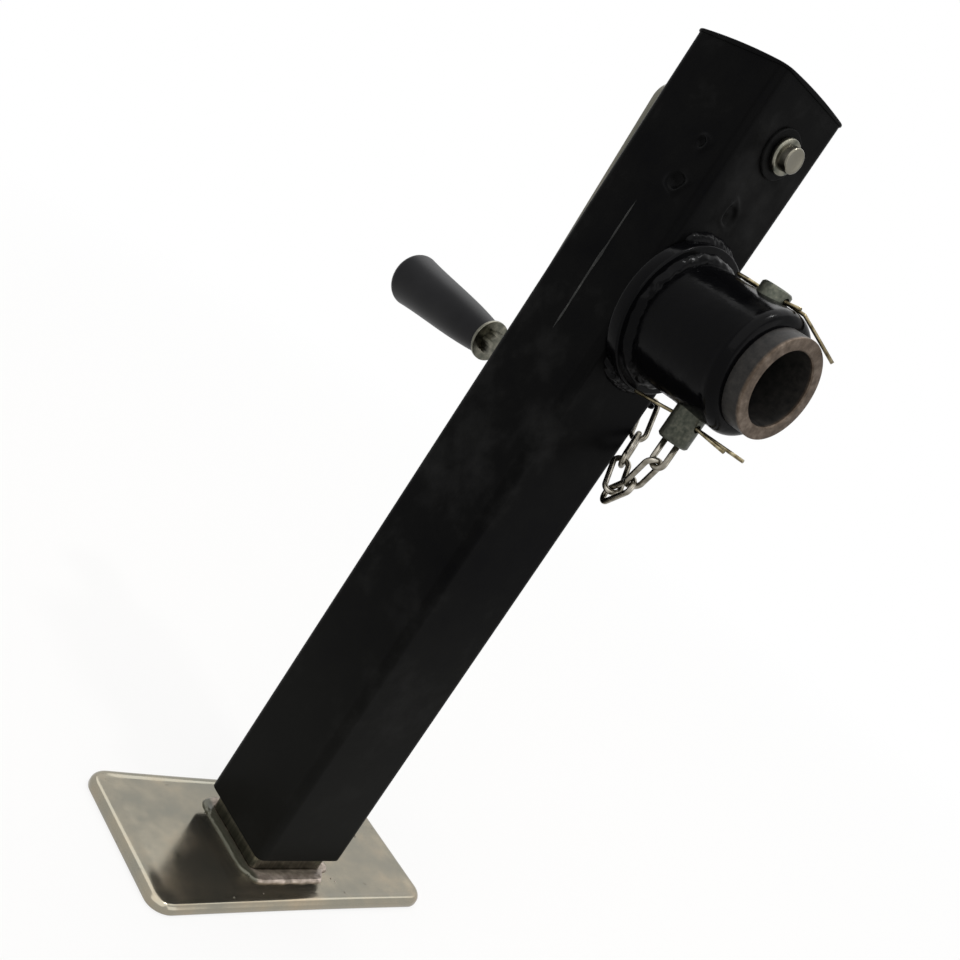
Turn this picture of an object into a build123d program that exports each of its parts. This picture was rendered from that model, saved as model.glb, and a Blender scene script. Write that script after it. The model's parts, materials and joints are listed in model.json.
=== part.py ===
from build123d import *
from math import acos, asin, atan, atan2, cos, degrees, pi, radians, sin, sqrt, tan
import os

# Trailer jack with a side crank, standing retracted on its foot plate.
# Millimetres, +Z up the tube. The origin is the centre of the foot's sole.
# The swivel mount points along +X, and the crank arm hangs on the -X side.

# foot plate and inner leg
foot_length = 189.0
foot_width = 99.4
foot_thickness = 6.0
foot_corner = 12.0
foot_top_roll = 3.2
foot_sole_edge = 1.2
foot_weld_leg = 5.0
leg_side = 50.0
leg_wall = 3.0
leg_corner = 4.0
leg_top_gap = 9.0

# outer tube and its cap
tube_side = 60.0
tube_wall = 4.0
tube_corner = 5.0
tube_length = 466.0
foot_gap = 10.5
cap_overhang = 0.7
cap_edge = 1.2
cap_dome = 2.4
cap_plug_depth = 8.0
cap_plug_wall = 2.0
cap_fit = 0.3

# bearing plate, plug welds and stake mark in the tube
plate_drop = 60.0
plate_thickness = 8.0
plate_fit = 0.2
plug_diameter = 11.0
plug_sink = 0.9
plug_offset_front = 12.0
plug_offset_side = -6.0
stake_rise = 20.0
stake_diameter = 8.0
stake_depth = 0.5

# lead screw, nut and thrust bearing
screw_diameter = 20.0
screw_fit = 0.05
screw_lead = 5.0
works_length = 161.0
nut_length = 24.0
nut_fit = 0.1
nut_flange = 5.0
nut_flange_inset = 1.0
collar_diameter = 32.0
collar_height = 6.0
bearing_outer = 36.0
race_thickness = 3.0
race_groove_depth = 0.8
ball_diameter = 5.5
ball_count = 12
ball_gap = 0.05
cage_height = 2.4
cage_wall = 1.4
stop_diameter = 40.0
stop_height = 5.0
stop_gap = 4.0
screw_tail = 6.0
stop_pin_diameter = 4.0

# bevel gears
gear_module = 2.0
driven_teeth = 20
pinion_teeth = 12
face_width = 6.5
pressure_angle = 20.0
pinion_addendum_share = 1.2
driven_addendum_share = 0.8
root_clearance_share = 0.25
backlash = 0.22
driven_hub_diameter = 27.0
driven_back = 5.0
driven_hub_gap = 1.0
driven_pin_diameter = 4.0
pinion_hub_diameter = 19.0
pinion_back = 1.0
pinion_wall_gap = 0.6
pinion_pin_diameter = 3.0

# crank shaft, bushes and crank arm
shaft_drop = 28.5
shaft_diameter = 12.7
shaft_fit = 0.05
shaft_out = 10.4
bush_diameter = 17.0
bush_flange_diameter = 25.0
bush_flange = 2.0
washer_diameter = 19.6
washer_thickness = 3.2
washer_gap = 0.3
arm_gap = 12.4
arm_width = 25.0
arm_thickness = 6.0
arm_head_drop = 4.0
crank_radius = 154.0
crank_lean = 2.0
arm_weld_leg = 2.2

# grip on the crank arm
grip_length = 81.0
grip_small_radius = 9.7
grip_neck_radius = 12.8
grip_swell_radius = 14.4
grip_big_radius = 16.5
grip_end_round = 4.0
grip_bolt_diameter = 8.0
grip_bolt_fit = 0.1
grip_head_across = 13.0
grip_head_height = 5.5
grip_recess_diameter = 18.0
grip_recess_depth = 8.0
grip_end_gap = 0.4
grip_nut_across = 13.0
grip_nut_length = 19.6
grip_washer_diameter = 23.5
grip_washer_thickness = 2.0

# swivel mount
mount_drop = 117.5
stub_diameter = 50.8
stub_wall = 6.35
stub_fit = 0.05
stub_start_gap = 1.0
stub_out = 10.5
sleeve_wall = 6.3
sleeve_reach = 65.0
sleeve_end_round = 6.0
flange_reach = 7.25
flange_thickness = 8.0
sleeve_weld_leg = 4.5
flange_weld_leg = 5.0

# lock pin, its split pins and the eye
pin_diameter = 16.0
pin_hole_clearance = 1.5
pin_offset = 43.0
pin_tail = 15.75
pin_end_chamfer = 1.0
pin_end_margin = 4.0
lower_hole_height = 11.7
split_hole_diameter = 4.0
split_wire = 1.8
split_split = 0.1
split_seat_gap = 0.3
split_eye_width = 10.0
lower_eye_length = 23.0
lower_eye_drop = 2.4
lower_long_leg = 36.5
lower_short_leg = 28.5
lower_spread = 2.2
upper_eye_length = 12.0
upper_eye_drop = 0.0
upper_short_leg = 18.0
upper_tail_run = 27.6
upper_tail_out = 14.0
upper_tail_drop = 11.0

# chain
chain_wire = 3.0
link_length = 26.0
link_width = 11.0
link_gap = 0.15
eye_drop = 14.0
chain_headings = (40.0, 24.0, 39.0, 52.0, 27.0)
chain_dips = (-54.0, -43.0, 40.0, 38.0, 63.0)
chain_rolls = (-20.0, 97.0, -14.0, 77.0, -50.0)
slip_share = 0.9

# levels and planes that follow from the sizes above
tube_bottom = foot_thickness + foot_gap
tube_top = tube_bottom + tube_length
tube_face = tube_side / 2
tube_inner = tube_side - 2 * tube_wall
travel = tube_length - works_length
shaft_z = tube_top - shaft_drop
plate_top = tube_top - plate_drop
plate_bottom = plate_top - plate_thickness
race_pack = 2 * race_thickness + ball_diameter - 2 * race_groove_depth + 2 * ball_gap
collar_top = plate_bottom - race_pack
collar_bottom = collar_top - collar_height
nut_top = collar_bottom - leg_top_gap + nut_flange
leg_top = nut_top - nut_flange
nut_bottom = leg_top - nut_length
stop_top = nut_bottom - travel - stop_gap
stop_bottom = stop_top - stop_height
screw_bottom = stop_bottom - screw_tail
mount_z = tube_top - mount_drop
sleeve_diameter = stub_diameter + 2 * (stub_fit + sleeve_wall)
flange_diameter = sleeve_diameter + 2 * flange_reach
pin_x = tube_face + pin_offset
pin_bottom = mount_z - sleeve_diameter / 2 - pin_tail
lower_split_z = pin_bottom + lower_hole_height
upper_split_z = mount_z + sleeve_diameter / 2 + split_seat_gap + split_wire / 2
pin_top = upper_split_z + pin_end_margin
grip_z = shaft_z - crank_radius
arm_inner_x = -tube_face - arm_gap
arm_outer_x = arm_inner_x - arm_thickness
grip_nut_x = arm_outer_x - grip_nut_length
grip_washer_x = grip_nut_x - grip_washer_thickness
grip_start_x = grip_washer_x - grip_end_gap
grip_end_x = grip_start_x - grip_length


def cylinder_x(radius, x_start, x_end, y=0.0, z=0.0):
    """A round bar along X between two stations."""
    plane = Plane(origin=(x_start, y, z), x_dir=(0, 1, 0), z_dir=(1, 0, 0))
    return extrude(plane * Circle(radius), amount=x_end - x_start)


def cylinder_z(radius, z_start, z_end, x=0.0, y=0.0):
    """A round bar along Z between two levels."""
    return extrude(Plane.XY.offset(z_start) * Pos(x, y) * Circle(radius), amount=z_end - z_start)


def square_bar(side, corner, z_start, z_end):
    """A square bar with round corners along Z."""
    profile = Plane.XY.offset(z_start) * RectangleRounded(side, side, corner)
    return extrude(profile, amount=z_end - z_start)


def hex_x(across, x_start, x_end, z):
    """A hexagonal bar along X, flats up and down."""
    plane = Plane(origin=(x_start, 0, z), x_dir=(0, 1, 0), z_dir=(1, 0, 0))
    profile = plane * RegularPolygon(across / 2, 6, major_radius=False)
    return extrude(profile, amount=x_end - x_start)


def foot_plate():
    """A flat pressed plate with round corners and rolled edges."""
    plate = extrude(RectangleRounded(foot_width, foot_length, foot_corner), amount=foot_thickness)
    plate = fillet(plate.faces().sort_by(Axis.Z)[-1].edges(), foot_top_roll)
    return fillet(plate.faces().sort_by(Axis.Z)[0].edges(), foot_sole_edge)


def foot_weld():
    """The fillet weld round the foot of the leg."""
    root = Plane.XY.offset(foot_thickness) * RectangleRounded(
        leg_side + 2 * foot_weld_leg, leg_side + 2 * foot_weld_leg, leg_corner + foot_weld_leg
    )
    bead = extrude(root, amount=foot_weld_leg * 0.98, taper=45)
    return bead - square_bar(leg_side, leg_corner, foot_thickness, leg_top)


def inner_leg():
    """The square inner tube that slides out of the outer tube."""
    leg = square_bar(leg_side, leg_corner, foot_thickness, leg_top)
    bore = square_bar(leg_side - 2 * leg_wall, leg_corner - leg_wall, foot_thickness, leg_top)
    return leg - bore


def lead_nut():
    """A square nut that fills the top of the leg, with a flange that bears on it."""
    body_side = leg_side - 2 * leg_wall - 2 * nut_fit
    body = square_bar(body_side, leg_corner - leg_wall, nut_bottom, leg_top)
    flange = square_bar(leg_side - 2 * nut_flange_inset, leg_corner, leg_top, nut_top)
    return body + flange - cylinder_z(screw_diameter / 2 + screw_fit, nut_bottom, nut_top)


def outer_tube():
    """The outer square tube, with holes for the bushes and the plug welds."""
    tube = square_bar(tube_side, tube_corner, tube_bottom, tube_top)
    tube -= square_bar(tube_inner, tube_corner - tube_wall, tube_bottom, tube_top)
    tube -= cylinder_x(bush_diameter / 2, -tube_side, tube_side, z=shaft_z)
    for x, y, turn in plug_places():
        tube -= Pos(x, y, plate_middle()) * Rot(0, 0, turn) * plug_cutter()
    stake = Pos(plug_offset_front, -tube_face, plate_middle() + stake_rise)
    tube -= stake * Rot(90, 0, 0) * Cylinder(stake_diameter / 2, 2 * stake_depth)
    return tube


def plate_middle():
    return (plate_top + plate_bottom) / 2


def plug_places():
    """Where the four plug welds sit in the tube walls: x, y, and the turn of the wall about Z."""
    return (
        (plug_offset_front, -tube_face, -90),
        (-plug_offset_front, tube_face, 90),
        (tube_face, plug_offset_side, 0),
        (-tube_face, -plug_offset_side, 180),
    )


def plug_cutter():
    """A hole through the wall, drawn at the outer face with the wall towards -X."""
    return Rot(0, 90, 0) * Cylinder(plug_diameter / 2, 2 * tube_wall)


def plate_welds():
    """The plug welds: slightly sunk beads that fill the holes over the bearing plate."""
    bead = Rot(0, 90, 0) * Cylinder(plug_diameter / 2, tube_wall - plug_sink)
    bead = Pos(-(tube_wall + plug_sink) / 2, 0, 0) * bead
    crown_radius = plug_diameter
    crown = Pos(-plug_sink - crown_radius + plug_sink * 0.8, 0, 0) * Sphere(crown_radius)
    core = Rot(0, 90, 0) * Cylinder(plug_diameter * 0.3, 2 * tube_wall)
    bead += crown & core & (Pos(-tube_wall / 2, 0, 0) * Box(tube_wall, plug_diameter, plug_diameter))
    return [Pos(x, y, plate_middle()) * Rot(0, 0, turn) * bead for x, y, turn in plug_places()]


def top_cap():
    """A pressed cap: a shallow dome that overhangs the tube, and a rim inside it."""
    side = tube_side + 2 * cap_overhang
    corner = tube_corner + cap_overhang
    half_diagonal = side / 2 * sqrt(2)
    sphere_radius = (half_diagonal**2 + cap_dome**2) / (2 * cap_dome)
    cover = square_bar(side, corner, tube_top, tube_top + cap_edge + cap_dome)
    cover &= Pos(0, 0, tube_top + cap_edge + cap_dome - sphere_radius) * Sphere(sphere_radius)
    plug_side = tube_inner - 2 * cap_fit
    rim = square_bar(plug_side, 1.0, tube_top - cap_plug_depth, tube_top)
    rim -= square_bar(plug_side - 2 * cap_plug_wall, 0.5, tube_top - cap_plug_depth, tube_top)
    return cover + rim


def bearing_plate():
    """The thick plate welded across the tube, which the thrust bearing pushes up on."""
    plate = square_bar(tube_inner - 2 * plate_fit, 1.0, plate_bottom, plate_top)
    return plate - cylinder_z(screw_diameter / 2 + screw_fit, plate_bottom, plate_top)


def ball_circle_radius():
    return (screw_diameter / 2 + bearing_outer / 2) / 2


def race(level, groove_up):
    """One washer of the thrust bearing, with a groove for the balls on one face."""
    ring = cylinder_z(bearing_outer / 2, level, level + race_thickness)
    ring -= cylinder_z(screw_diameter / 2 + screw_fit, level, level + race_thickness)
    offset = ball_diameter / 2 - race_groove_depth + ball_gap
    centre = level + race_thickness + offset if groove_up else level - offset
    groove = Pos(0, 0, centre) * Torus(ball_circle_radius(), ball_diameter / 2 + ball_gap)
    return ring - groove


def ball_level():
    return (collar_top + plate_bottom) / 2


def thrust_balls():
    """The ring of balls between the two races."""
    place = Pos(ball_circle_radius(), 0, ball_level())
    step = 360 / ball_count
    return [Rot(0, 0, i * step) * place * Sphere(ball_diameter / 2) for i in range(ball_count)]


def ball_cage():
    """The flat cage that keeps the balls apart."""
    outer = ball_circle_radius() + ball_diameter / 2 + cage_wall
    inner = ball_circle_radius() - ball_diameter / 2 - cage_wall
    low = ball_level() - cage_height / 2
    cage = cylinder_z(min(outer, bearing_outer / 2), low, low + cage_height)
    cage -= cylinder_z(max(inner, screw_diameter / 2 + cage_wall / 2), low, low + cage_height)
    for i in range(ball_count):
        pocket = cylinder_z(ball_diameter / 2 + ball_gap, low, low + cage_height, x=ball_circle_radius())
        cage -= Rot(0, 0, i * 360 / ball_count) * pocket
    return cage


def lead_screw():
    """The lead screw with the collar that the thrust bearing sits on."""
    screw = cylinder_z(screw_diameter / 2, screw_bottom, driven_hub_top())
    screw += cylinder_z(collar_diameter / 2, collar_bottom, collar_top)
    screw = chamfer(screw.edges().sort_by(Axis.Z)[0], 1.5)
    screw -= cross_pin(driven_pin_diameter, driven_pin_level(), screw_diameter)
    return screw - cross_pin(stop_pin_diameter, stop_pin_level(), screw_diameter)


def stop_pin_level():
    return (stop_top + stop_bottom) / 2


def cross_pin(diameter, level, length):
    """A pin across the screw, along Y."""
    return Pos(0, 0, level) * Rot(90, 0, 0) * Cylinder(diameter / 2, length)


def screw_stop():
    """The washer on the end of the screw that the nut meets at full extension."""
    ring = cylinder_z(stop_diameter / 2, stop_bottom, stop_top)
    ring -= cylinder_z(screw_diameter / 2 + screw_fit, stop_bottom, stop_top)
    return ring - cross_pin(stop_pin_diameter, stop_pin_level(), stop_diameter)


# Bevel gear geometry. Both pitch cones have their tip on the crossing of the two axes.
driven_pitch_radius = gear_module * driven_teeth / 2
pinion_pitch_radius = gear_module * pinion_teeth / 2
cone_distance = sqrt(driven_pitch_radius**2 + pinion_pitch_radius**2)
driven_cone = atan2(driven_pitch_radius, pinion_pitch_radius)
pinion_cone = pi / 2 - driven_cone


def cone_point(cone, along, height):
    """Radius and distance from the tip, for a point along the pitch cone and square to it."""
    return along * sin(cone) + height * cos(cone), along * cos(cone) - height * sin(cone)


def involute(angle):
    return tan(angle) - angle


def gap_profile(teeth, cone, addendum, dedendum):
    """Half width and height of a tooth space, from the involute of the virtual spur gear."""
    virtual_teeth = teeth / cos(cone)
    pitch_radius = gear_module * virtual_teeth / 2
    base_radius = pitch_radius * cos(radians(pressure_angle))
    half_tooth = pi / (2 * virtual_teeth) + involute(radians(pressure_angle))
    low = pitch_radius - dedendum
    high = pitch_radius + addendum + gear_module * 0.4
    steps = 5
    points = []
    for i in range(steps + 1):
        radius = low + (high - low) * i / steps
        flank = acos(min(1.0, base_radius / radius))
        half_gap = pi / virtual_teeth - half_tooth + involute(flank)
        width = radius * sin(half_gap) + backlash / 4
        points.append((width, radius * cos(half_gap) - pitch_radius))
    return points


def gap_cutter(teeth, cone, addendum, dedendum):
    """A tooth space that tapers towards the tip of the cone, in the XZ plane of the gear.

    The gear's axis is Z and its tip is the origin, with the gear below it.
    """
    points = gap_profile(teeth, cone, addendum, dedendum)
    outline = [(-w, h) for w, h in points] + [(w, h) for w, h in reversed(points)]
    sections = []
    for along in (cone_distance + gear_module, cone_distance - face_width - gear_module):
        scale = along / cone_distance
        centre = Vector(along * sin(cone), 0, -along * cos(cone))
        outward = Vector(cos(cone), 0, sin(cone))
        plane = Plane(origin=centre, x_dir=(0, 1, 0), z_dir=Vector(0, 1, 0).cross(outward))
        wire = Polyline(*[(w * scale, h * scale) for w, h in outline], close=True)
        sections.append(plane * make_face(wire))
    return loft(sections, ruled=True)


def bevel_blank(cone, addendum, dedendum, back, hub_radius, bore_radius, hub_length):
    """The turned blank of a bevel gear: tip cone, front cone, back and hub, with its bore."""
    inner = cone_distance - face_width
    tip_out = cone_point(cone, cone_distance, addendum)
    tip_in = cone_point(cone, inner, addendum * inner / cone_distance)
    root_in = cone_point(cone, inner, -dedendum * inner / cone_distance)
    root_out = cone_point(cone, cone_distance, -dedendum)
    back_level = root_out[1] + back
    outline = [
        (bore_radius, root_in[1]),
        (root_in[0], root_in[1]),
        (tip_in[0], tip_in[1]),
        (tip_out[0], tip_out[1]),
        (root_out[0], root_out[1]),
        (root_out[0] - back * 0.25, back_level),
        (hub_radius, back_level),
        (hub_radius, back_level + hub_length),
        (bore_radius, back_level + hub_length),
    ]
    profile = make_face(Polyline(*[(r, 0, -z) for r, z in outline], close=True))
    return revolve(profile, Axis.Z)


def bevel_gear(teeth, cone, add_share, ded_share, back, hub_radius, bore_radius, hub_length, phase):
    """A bevel gear about Z with its tip at the origin, its teeth below, and a space at the phase."""
    addendum = add_share * gear_module
    dedendum = (ded_share + root_clearance_share) * gear_module
    gear = bevel_blank(cone, addendum, dedendum, back, hub_radius, bore_radius, hub_length)
    cutter = gap_cutter(teeth, cone, addendum, dedendum)
    spaces = [Rot(0, 0, phase + i * 360 / teeth) * cutter for i in range(teeth)]
    return gear - spaces


def driven_back_level():
    """How far below the crossing of the axes the back of the driven gear lies."""
    dedendum = (pinion_addendum_share + root_clearance_share) * gear_module
    return cone_point(driven_cone, cone_distance, -dedendum)[1] + driven_back


def driven_hub_length():
    return shaft_z - driven_back_level() - plate_top - driven_hub_gap


def driven_pin_level():
    return plate_top + driven_hub_gap + driven_hub_length() / 2


def driven_hub_top():
    """The top of the screw, level with the front of the driven gear."""
    inner = cone_distance - face_width
    dedendum = (pinion_addendum_share + root_clearance_share) * gear_module
    return shaft_z - cone_point(driven_cone, inner, -dedendum * inner / cone_distance)[1]


def driven_gear():
    """The large bevel gear on the screw. A tooth space faces the pinion."""
    gear = bevel_gear(
        driven_teeth, driven_cone, driven_addendum_share, pinion_addendum_share,
        driven_back, driven_hub_diameter / 2, screw_diameter / 2 + screw_fit,
        driven_hub_length(), 180,
    )
    return Pos(0, 0, shaft_z) * gear - cross_pin(driven_pin_diameter, driven_pin_level(), tube_side)


def pinion_hub_length():
    dedendum = (driven_addendum_share + root_clearance_share) * gear_module
    back = cone_point(pinion_cone, cone_distance, -dedendum)[1]
    return tube_inner / 2 - pinion_wall_gap - back - pinion_back


def pinion_pin_x():
    return -tube_inner / 2 + pinion_wall_gap + pinion_pin_diameter


def pinion_gear():
    """The small bevel gear on the crank shaft. A tooth points down into the driven gear."""
    gear = bevel_gear(
        pinion_teeth, pinion_cone, pinion_addendum_share, driven_addendum_share,
        pinion_back, pinion_hub_diameter / 2, shaft_diameter / 2 + shaft_fit,
        pinion_hub_length(), 180 / pinion_teeth,
    )
    gear = Pos(0, 0, shaft_z) * Rot(0, 90, 0) * gear
    return gear - pinion_pin()


def pinion_pin():
    """The roll pin through the pinion's hub and the shaft."""
    return Pos(pinion_pin_x(), 0, shaft_z) * Cylinder(pinion_pin_diameter / 2, pinion_hub_diameter - 1)


def crank_shaft():
    """The cross shaft, from the weld at the crank arm to its free end beyond the mount side."""
    shaft = cylinder_x(shaft_diameter / 2, arm_outer_x - arm_weld_leg, tube_face + shaft_out, z=shaft_z)
    shaft = chamfer(shaft.edges().sort_by(Axis.X)[-1], 0.8)
    return shaft - pinion_pin()


def shaft_bush(side):
    """A flanged bush pressed into the tube wall: side is -1 or 1."""
    flange_face = side * (tube_face + bush_flange)
    inner_face = side * (tube_face - tube_wall)
    bush = cylinder_x(bush_flange_diameter / 2, side * tube_face, flange_face, z=shaft_z)
    bush = fillet(bush.edges().sort_by(Axis.X)[-1 if side > 0 else 0], 0.8)
    bush += cylinder_x(bush_diameter / 2, inner_face, side * tube_face, z=shaft_z)
    return bush - cylinder_x(shaft_diameter / 2 + shaft_fit, inner_face * 0.9, flange_face * 1.1, z=shaft_z)


def shaft_washer():
    """The push-on washer that holds the shaft at the mount side."""
    start = tube_face + bush_flange + washer_gap
    ring = cylinder_x(washer_diameter / 2, start, start + washer_thickness, z=shaft_z)
    ring = chamfer(ring.edges().sort_by(Axis.X)[-1], 0.7)
    return ring - cylinder_x(shaft_diameter / 2, start, start + washer_thickness, z=shaft_z)


def arm_spacer():
    """The spacer tube between the bush and the crank arm."""
    start = -tube_face - bush_flange - washer_gap
    ring = cylinder_x(washer_diameter / 2, start, arm_inner_x, z=shaft_z)
    return ring - cylinder_x(shaft_diameter / 2, start, arm_inner_x, z=shaft_z)


def leaned(shape):
    """A piece of the crank, swung about the shaft to where the crank rests."""
    return Pos(0, 0, shaft_z) * Rot(crank_lean, 0, 0) * Pos(0, 0, -shaft_z) * shape


def crank_arm():
    """A flat steel bar with round ends, holed for the shaft and the grip bolt."""
    plane = Plane(origin=(arm_inner_x, 0, 0), x_dir=(0, -1, 0), z_dir=(-1, 0, 0))
    middle = Pos(0, (shaft_z - arm_head_drop + grip_z) / 2)
    bar = plane * middle * Rot(0, 0, 90) * SlotCenterToCenter(crank_radius - arm_head_drop, arm_width)
    arm = extrude(bar, amount=arm_thickness)
    arm = fillet(arm.edges().filter_by(Plane.YZ), 0.7)
    arm -= cylinder_x(shaft_diameter / 2, arm_inner_x, arm_outer_x, z=shaft_z)
    return leaned(arm - cylinder_x(grip_bolt_diameter / 2, arm_inner_x, arm_outer_x, z=grip_z))


def arm_weld():
    """The weld bead that joins the shaft's end to the crank arm."""
    radius = shaft_diameter / 2
    corner = (arm_outer_x, 0, shaft_z + radius)
    out = (arm_outer_x, 0, shaft_z + radius + arm_weld_leg)
    up = (arm_outer_x - arm_weld_leg, 0, shaft_z + radius)
    profile = make_face(Polyline(corner, out, up, close=True))
    return revolve(profile, Axis((0, 0, shaft_z), (1, 0, 0)))


def crank_grip():
    """A moulded handle that swells towards its free end, bored for the bolt."""
    side = Spline(
        (0, grip_small_radius), (grip_length / 3, grip_neck_radius),
        (grip_length * 2 / 3, grip_swell_radius), (grip_length, grip_big_radius),
    )
    ends = Polyline((grip_length, grip_big_radius), (grip_length, 0), (0, 0), (0, grip_small_radius))
    body = revolve(make_face([side, ends]), Axis.X)
    body = fillet(body.edges().filter_by(GeomType.CIRCLE).sort_by(Axis.X)[-1], grip_end_round)
    body = Pos(grip_start_x, 0, grip_z) * Rot(0, 0, 180) * body
    bore = cylinder_x(grip_bolt_diameter / 2 + grip_bolt_fit, grip_end_x, grip_start_x, z=grip_z)
    recess = cylinder_x(grip_recess_diameter / 2, grip_end_x, grip_end_x + grip_recess_depth, z=grip_z)
    return leaned(body - bore - recess)


def grip_bolt():
    """The bolt that the grip turns on: its head sits in the grip's end, its tail in the arm."""
    head_x = grip_end_x + grip_recess_depth - grip_end_gap
    bolt = hex_x(grip_head_across, head_x - grip_head_height, head_x, grip_z)
    return leaned(bolt + cylinder_x(grip_bolt_diameter / 2, head_x, arm_inner_x, z=grip_z))


def grip_nut():
    """The long hexagon nut that locks the bolt to the arm."""
    nut = hex_x(grip_nut_across, grip_nut_x, arm_outer_x, grip_z)
    ends = cylinder_x(grip_nut_across * 0.56, grip_nut_x, arm_outer_x, z=grip_z)
    nut &= chamfer(ends.edges().filter_by(GeomType.CIRCLE), 1.0)
    return leaned(nut - cylinder_x(grip_bolt_diameter / 2, grip_nut_x, arm_outer_x, z=grip_z))


def grip_washer():
    """The plain washer between the nut and the grip."""
    ring = cylinder_x(grip_washer_diameter / 2, grip_washer_x, grip_nut_x, z=grip_z)
    return leaned(ring - cylinder_x(grip_bolt_diameter / 2, grip_washer_x, grip_nut_x, z=grip_z))


def pin_hole():
    """The hole for the lock pin through the sleeve and the stub."""
    return cylinder_z((pin_diameter + pin_hole_clearance) / 2, mount_z - sleeve_diameter,
                      mount_z + sleeve_diameter, x=pin_x)


def mount_sleeve():
    """The heavy round sleeve welded to the tube, which the stub turns in."""
    end_x = tube_face + sleeve_reach
    sleeve = cylinder_x(sleeve_diameter / 2, tube_face, end_x, z=mount_z)
    sleeve = fillet(sleeve.edges().sort_by(Axis.X)[-1], sleeve_end_round)
    sleeve -= cylinder_x(stub_diameter / 2 + stub_fit, tube_face, end_x, z=mount_z)
    return sleeve - pin_hole()


def mount_flange():
    """The round flange at the root of the sleeve."""
    ring = cylinder_x(flange_diameter / 2, tube_face, tube_face + flange_thickness, z=mount_z)
    ring = fillet(ring.edges().sort_by(Axis.X)[-1], 1.2)
    return ring - cylinder_x(sleeve_diameter / 2, tube_face, tube_face + flange_thickness, z=mount_z)


def ring_bead(radius, face, leg):
    """A fillet weld round the mount's axis, in the corner of a face and a round wall."""
    profile = make_face(Polyline(
        (face, 0, mount_z + radius), (face, 0, mount_z + radius + leg),
        (face + leg, 0, mount_z + radius), close=True,
    ))
    return revolve(profile, Axis((0, 0, mount_z), (1, 0, 0)))


def sleeve_weld():
    """The fillet weld between the flange and the sleeve."""
    return ring_bead(sleeve_diameter / 2, tube_face + flange_thickness, sleeve_weld_leg)


def flange_weld():
    """The two beads that join the flange's rim to the flat of the tube, above it and below it."""
    bead = ring_bead(flange_diameter / 2, tube_face, flange_weld_leg)
    flat = tube_side - 2 * tube_corner
    return bead & Pos(tube_face, 0, mount_z) * Box(4 * flange_weld_leg, flat, 2 * flange_diameter)


def swivel_stub():
    """The stub pipe that is welded to the trailer's frame. Its end stands out of the sleeve."""
    start = tube_face + stub_start_gap
    end = tube_face + sleeve_reach + stub_out
    stub = cylinder_x(stub_diameter / 2, start, end, z=mount_z)
    stub -= cylinder_x(stub_diameter / 2 - stub_wall, start, end, z=mount_z)
    rims = stub.edges().filter_by(GeomType.CIRCLE).group_by(Axis.X)[-1]
    return chamfer(rims, 0.6) - pin_hole()


def lock_pin():
    """The lock pin through the sleeve and the stub, cross-drilled at both ends."""
    pin = cylinder_z(pin_diameter / 2, pin_bottom, pin_top, x=pin_x)
    pin = chamfer(pin.edges().filter_by(GeomType.CIRCLE), pin_end_chamfer)
    for level in (lower_split_z, upper_split_z):
        pin -= cylinder_x(split_hole_diameter / 2, pin_x - pin_diameter, pin_x + pin_diameter, z=level)
    return pin


def wire_along(points, bend, radius):
    """A round wire of straight runs joined by arcs of one bend radius."""
    path = FilletPolyline(*points, radius=bend) if len(points) > 2 else Line(*points)
    start = Plane(origin=path @ 0, z_dir=path % 0)
    return sweep(start * Circle(radius), path=path)


def split_pin(level, eye_length, eye_drop, long_points, short_points):
    """A split pin along X: a flat eye on the tube's side, and two legs beyond the lock pin."""
    half = split_wire / 2 + split_split / 2
    eye_end = pin_x - pin_diameter / 2 - 1.0
    eye_start = eye_end - eye_length
    side = split_eye_width / 2 - split_wire / 2
    neck = eye_length * 0.35
    low = level - eye_drop
    neck_level = level - eye_drop * 0.4
    long_path = [
        (eye_start, 0, low), (eye_start, side, low),
        (eye_end - neck, side, neck_level), (eye_end, half, level), *long_points,
    ]
    short_path = [
        (eye_start, 0, low), (eye_start, -side, low),
        (eye_end - neck, -side, neck_level), (eye_end, -half, level), *short_points,
    ]
    return (wire_along(long_path, 1.6, split_wire / 2)
            + wire_along(short_path, 1.6, split_wire / 2))


def lower_split_pin():
    half = split_wire / 2 + split_split / 2
    edge = pin_x + pin_diameter / 2 + 1.0
    level = lower_split_z
    long_points = [(edge, half, level), (pin_x + lower_long_leg, half + lower_spread * 0.4, level + 0.6)]
    short_points = [(edge, -half, level), (pin_x + lower_short_leg, -half - lower_spread, level - 0.8)]
    return split_pin(level, lower_eye_length, lower_eye_drop, long_points, short_points)


def upper_split_pin():
    half = split_wire / 2 + split_split / 2
    edge = pin_x + pin_diameter / 2 + 1.0
    level = upper_split_z
    long_points = [
        (edge, half, level), (edge + upper_tail_run / 3, half + 1.5, level - 0.3),
        (edge + upper_tail_run, half + upper_tail_out, level - upper_tail_drop),
    ]
    short_points = [(edge, -half, level), (pin_x + upper_short_leg, -half - 1.5, level + 0.6)]
    return split_pin(level, upper_eye_length, upper_eye_drop, long_points, short_points)


# The chain is worked out link by link, from the eye on the lock pin to the anchor on the tube.
link_span = link_length - chain_wire
link_radius = (link_width - chain_wire) / 2
link_straight = link_span - 2 * link_radius
hook_step = chain_wire + link_gap


def direction(heading, dip):
    """A unit vector: heading is the plan angle from -X towards +Y, dip is the angle above level."""
    flat = cos(radians(dip))
    return Vector(-flat * cos(radians(heading)), flat * sin(radians(heading)), sin(radians(dip)))


def bow_reach(pull, normal):
    """From a bow's centre to the point where its wire meets the pull, in the plane of the link."""
    return (pull - normal * pull.dot(normal)).normalized() * link_radius


def hooked(touch, pull, normal):
    """The centre of a link's near bow, hooked round the wire that passes the touch point."""
    return touch - pull * hook_step + bow_reach(pull, normal)


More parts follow.
